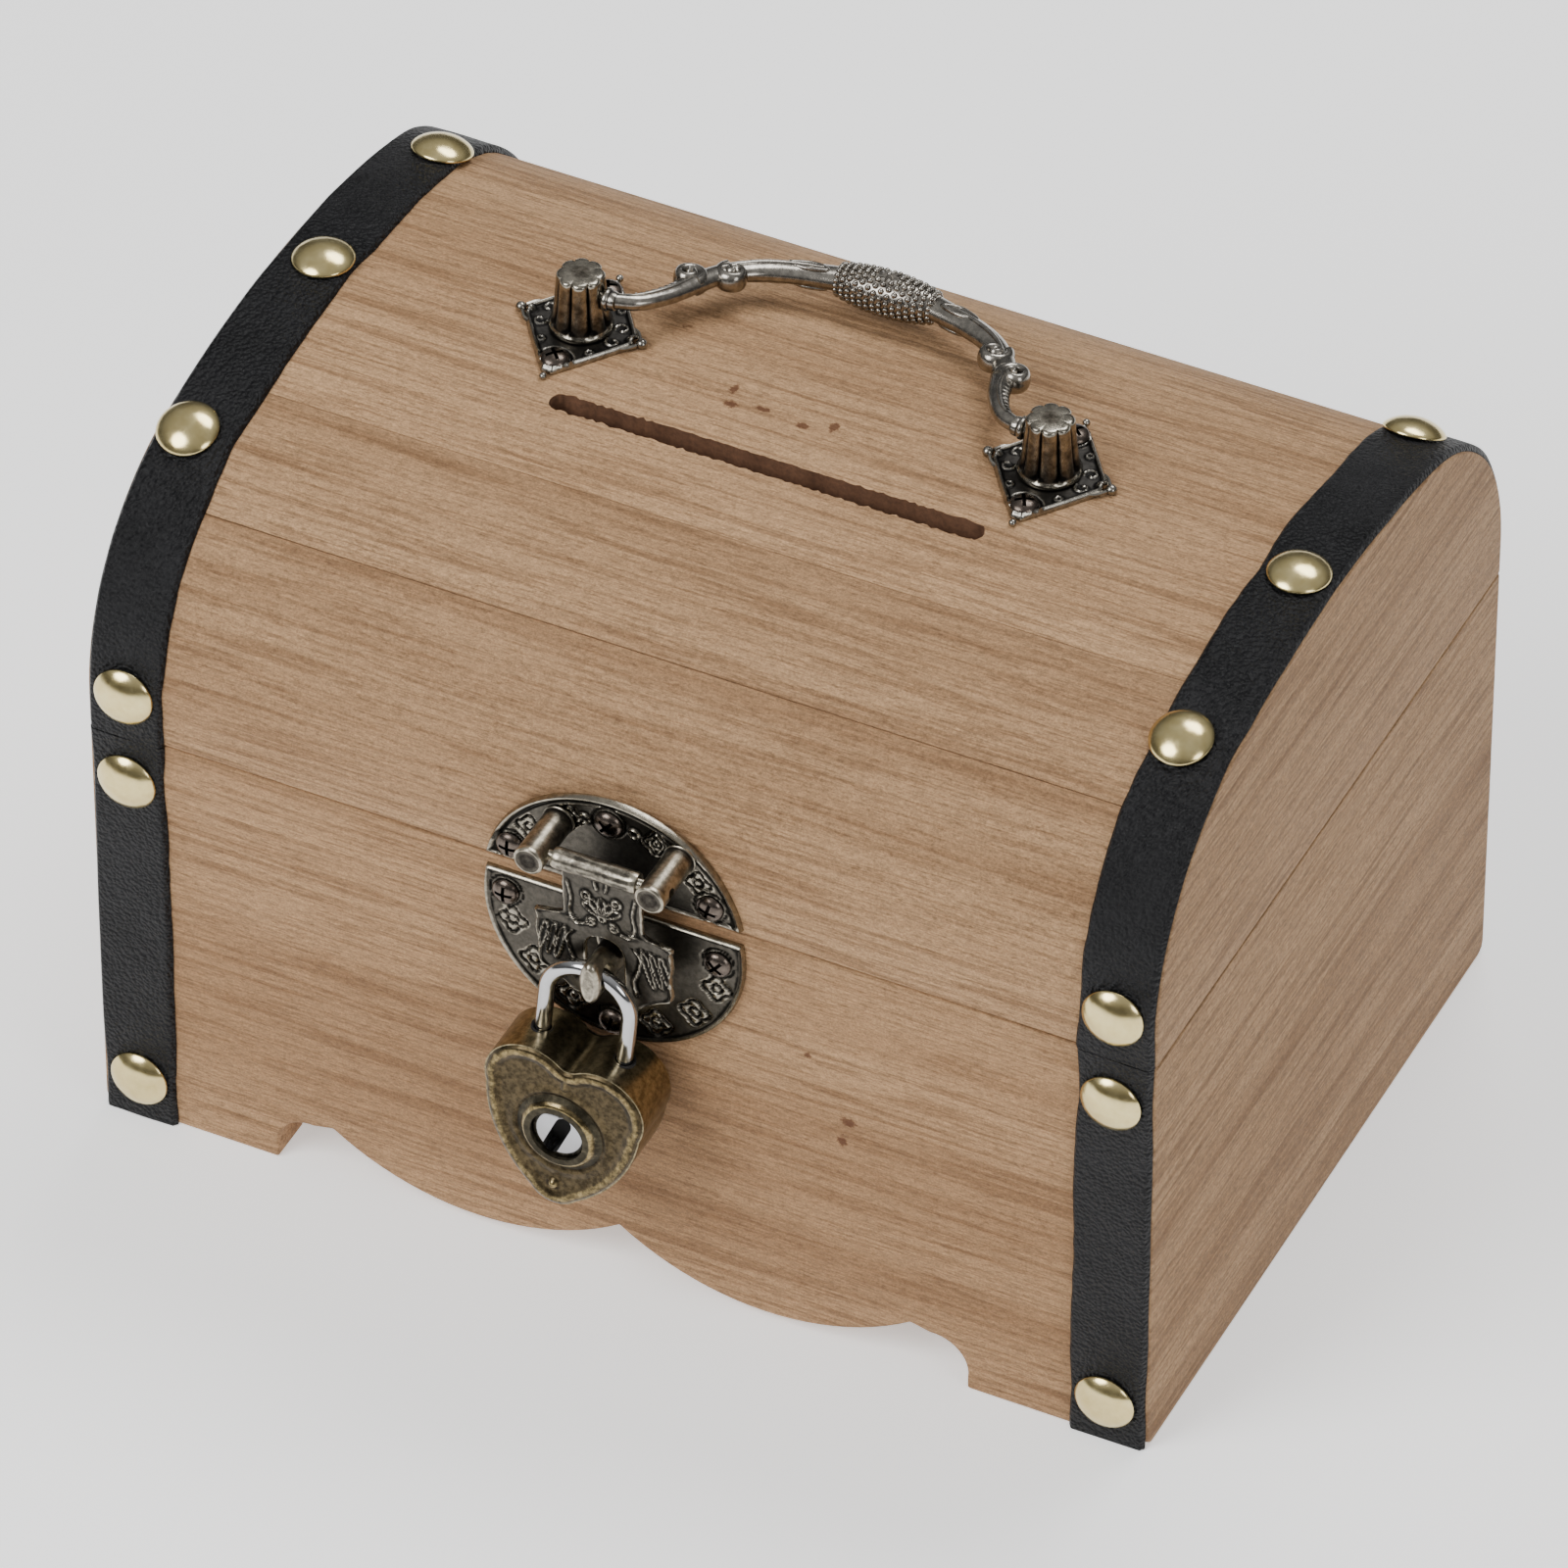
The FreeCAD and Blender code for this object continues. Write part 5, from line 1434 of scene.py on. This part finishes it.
def rub_and_highlight_face(mesh):
    """The ring round the plug is rubbed bright, the rim bead is painted bright as a painted highlight,
    the groove beyond the ring is dark.
    """
    into = LOCK_FRAME.inverted()
    # on this face the wear values carry rubbed brass and the rim's painted highlight
    layer = mesh.attributes["wear"]
    for vertex in mesh.vertices:
        spot = into @ (vertex.co / MM)
        height = -spot.y - LOCK_FRONT
        if math.hypot(spot.x, spot.z - PLUG_Z) < BOSS_REACH:
            shade = 0.38 + 0.46 * (max(height, 0) / BOSS_RISE) ** 1.5
        else:
            # rim bead: painted highlight, brighter the higher it stands
            shade = 0.50 + 0.19 * min(max((height - 0.30) / 0.35, 0), 1)
        layer.data[vertex.index].value = shade


def key_slot(front):
    """Cutter for the leaning slot, rounded at both ends."""
    lean, half_wide, half_straight, end_rise = math.radians(18), 1.25, 2.5, 1.2
    profile = [(half_wide * math.cos(t),
                half_straight * math.copysign(1, math.sin(t)) + end_rise * math.sin(t))
               for t in np.linspace(0.01, 2 * math.pi - 0.01, 33)]
    rows = [[(x * math.cos(lean) + z * math.sin(lean), -out,
              PLUG_Z - x * math.sin(lean) + z * math.cos(lean)) for x, z in profile]
            for out in (front - 3.2, front + 1)]
    slot = Shape()
    slot.add(*rings(rows))
    return slot


def padlock_plug():
    """Chrome core with a key slot, and an off-centre cam pin at its back."""
    front, back, cam = LOCK_FRONT + BOSS_RISE - 0.1, 1.4, 0.75
    slot_reach, slot_start = 3.6, 0.9
    profile = [(0, -back), (PLUG_RADIUS, -back), (PLUG_RADIUS, front - 1.6),
               (PLUG_HEAD, front - 1.6), (PLUG_HEAD, front - 0.8), (PLUG_HEAD - 0.3, front - 0.55),
               (PLUG_HEAD - 1.1, front - 0.25), (1.6, front - 0.05), (0, front)]
    core = Shape()
    core.add(*lathe(profile, 56), stand((0, 0, PLUG_Z), (0, -1, 0)))
    core = subtract(core, key_slot(front))
    # the walls and the floor of the key slot take the dark material: painted shade inside the slot
    for i, face in enumerate(core.faces):
        middle = sum((core.verts[k] for k in face), Vector()) / len(face)
        reach = math.hypot(middle.x, middle.z - PLUG_Z)
        if reach < slot_reach and slot_start - front < middle.y < -back:
            core.slots[i] = 1
    core.add(*lathe([(0, 0), (0.5, 0), (0.5, 1.2), (0, 1.2)], 20),
             stand((cam, back - 0.01, PLUG_Z - cam), (0, 1, 0)))
    core.make("padlock_plug_turned", [PLUG, DARK], "lock_plug", "lock_chrome",
              ("padlock_plug",), sharp=35, matrix=LOCK_FRAME)


# dark rim of painted shade where a leg enters the case: closed round on itself, a little proud
LEG_SHADE_RIM = [(WIRE + 0.10, -0.8), (WIRE + 0.10, -0.06), (WIRE + 0.40, 0.02), (WIRE + 0.46, -0.04),
           (WIRE + 0.46, -0.8), (WIRE + 0.10, -0.8)]


def padlock():
    """Heart-shaped case with its face, plug, shackle, latch, spring and leg rims of painted shade."""
    # the case and the cover take the darker brass copy: painted shade on the sides
    softened("padlock_case", LOCK_SHADED_SIDE, 0.5, "lock_case", 3, sharp=50)
    softened("padlock_cover", LOCK_SHADED_SIDE, 0.4, "lock_case", 3, sharp=50)
    padlock_face()
    padlock_plug()
    softened("padlock_shackle", CHROME, 0.12, "shackle")
    softened("padlock_latch", STEEL, 0.1, "lock_latch")
    spring = nodes["padlock_spring"].data.materials
    spring.clear()
    spring.append(STEEL)
    for label, side in SIDES:
        # the rim round each leg is painted shade, in the dark material
        collar = Shape()
        collar.add(*lathe(LEG_SHADE_RIM, 32),
                   Matrix.Translation((side * CROWN, 0, LOBE[1] + LOBE[2] - 0.02)))
        collar.make("padlock_leg_shade_rim_" + label, DARK, "lock_case", "padlock_brass", (),
                    matrix=LOCK_FRAME)


# ---------------------------------------------------------------- stage

AZIMUTH = math.radians(25.984)
ELEVATION = math.radians(41.253)
AIM = Vector((1.02, -7.25, 53.56))
DISTANCE = 1987.07
LENS = 312.05
LIT_POINT = Vector((0, 0, 0.05))


def look(item, direction):
    """Turns a camera or a lamp to face a direction."""
    item.rotation_euler = Vector(direction).to_track_quat("-Z", "Y").to_euler()


def camera():
    """The photograph's view."""
    away = Vector((math.sin(AZIMUTH) * math.cos(ELEVATION), -math.cos(AZIMUTH) * math.cos(ELEVATION),
                   math.sin(ELEVATION)))
    data = bpy.data.cameras.new("camera")
    data.lens = LENS
    data.sensor_width = 36
    data.clip_end = 20
    eye = linked("camera", data)
    eye.location = (AIM + away * DISTANCE) * MM
    look(eye, -away)
    bpy.context.scene.camera = eye


def softbox(name, direction, distance, size, power):
    """Soft oval lamp that faces the box; distances here are in metres."""
    data = bpy.data.lights.new(name, "AREA")
    data.shape = "ELLIPSE"
    data.size, data.size_y = size
    data.energy = power
    lamp = linked(name, data)
    lamp.location = LIT_POINT + Vector(direction).normalized() * distance
    look(lamp, LIT_POINT - lamp.location)


def white_room():
    """Background light, brighter from above."""
    world = bpy.data.worlds.new("white_room")
    bpy.context.scene.world = world
    world.use_nodes = True
    tree = world.node_tree
    toward = node(tree, "ShaderNodeTexCoord", {}).outputs["Generated"]
    height = node(tree, "ShaderNodeSeparateXYZ", {"Vector": toward}).outputs["Z"]
    room = ramp(tree, height, [(0.0, 0.16), (0.25, 0.22), (0.60, 0.62), (1.0, 0.85)])
    feed(tree, tree.nodes["Background"], {"Color": room, "Strength": 0.62})


def white_floor():
    """Pale sheet just under the box."""
    reach, drop = 3.0, 0.0002
    mesh = bpy.data.meshes.new("floor")
    corners = ((-1, -1), (1, -1), (1, 1), (-1, 1))
    mesh.from_pydata([(x * reach, y * reach, -drop) for x, y in corners], [], [[0, 1, 2, 3]])
    material, tree, shader = new_material("pale_floor")
    feed(tree, shader, {"Base Color": (0.93, 0.93, 0.93, 1), "Roughness": 0.9,
                        "Emission Color": (1, 1, 1, 1), "Emission Strength": 0.6})
    mesh.materials.append(material)
    ground = linked("floor", mesh)


def studio():
    """White room with three soft lamps and a floor."""
    white_room()
    softbox("key", (-0.55, -0.95, 1.0), 1.1, (0.65, 0.65), 8.8)
    softbox("fill", (1.0, -0.5, 0.5), 1.3, (0.5, 0.5), 3.0)
    softbox("top", (0.1, 0.5, 1.0), 1.2, (0.8, 0.5), 7.8)
    white_floor()


wooden_box()
straps()
tacks()
hinges()
handle_plates()
handle_posts()
bail()
hasp_plates()
hasp_lugs()
tongue_sheet()
tongue_barrel()
staple()
padlock()
camera()
studio()
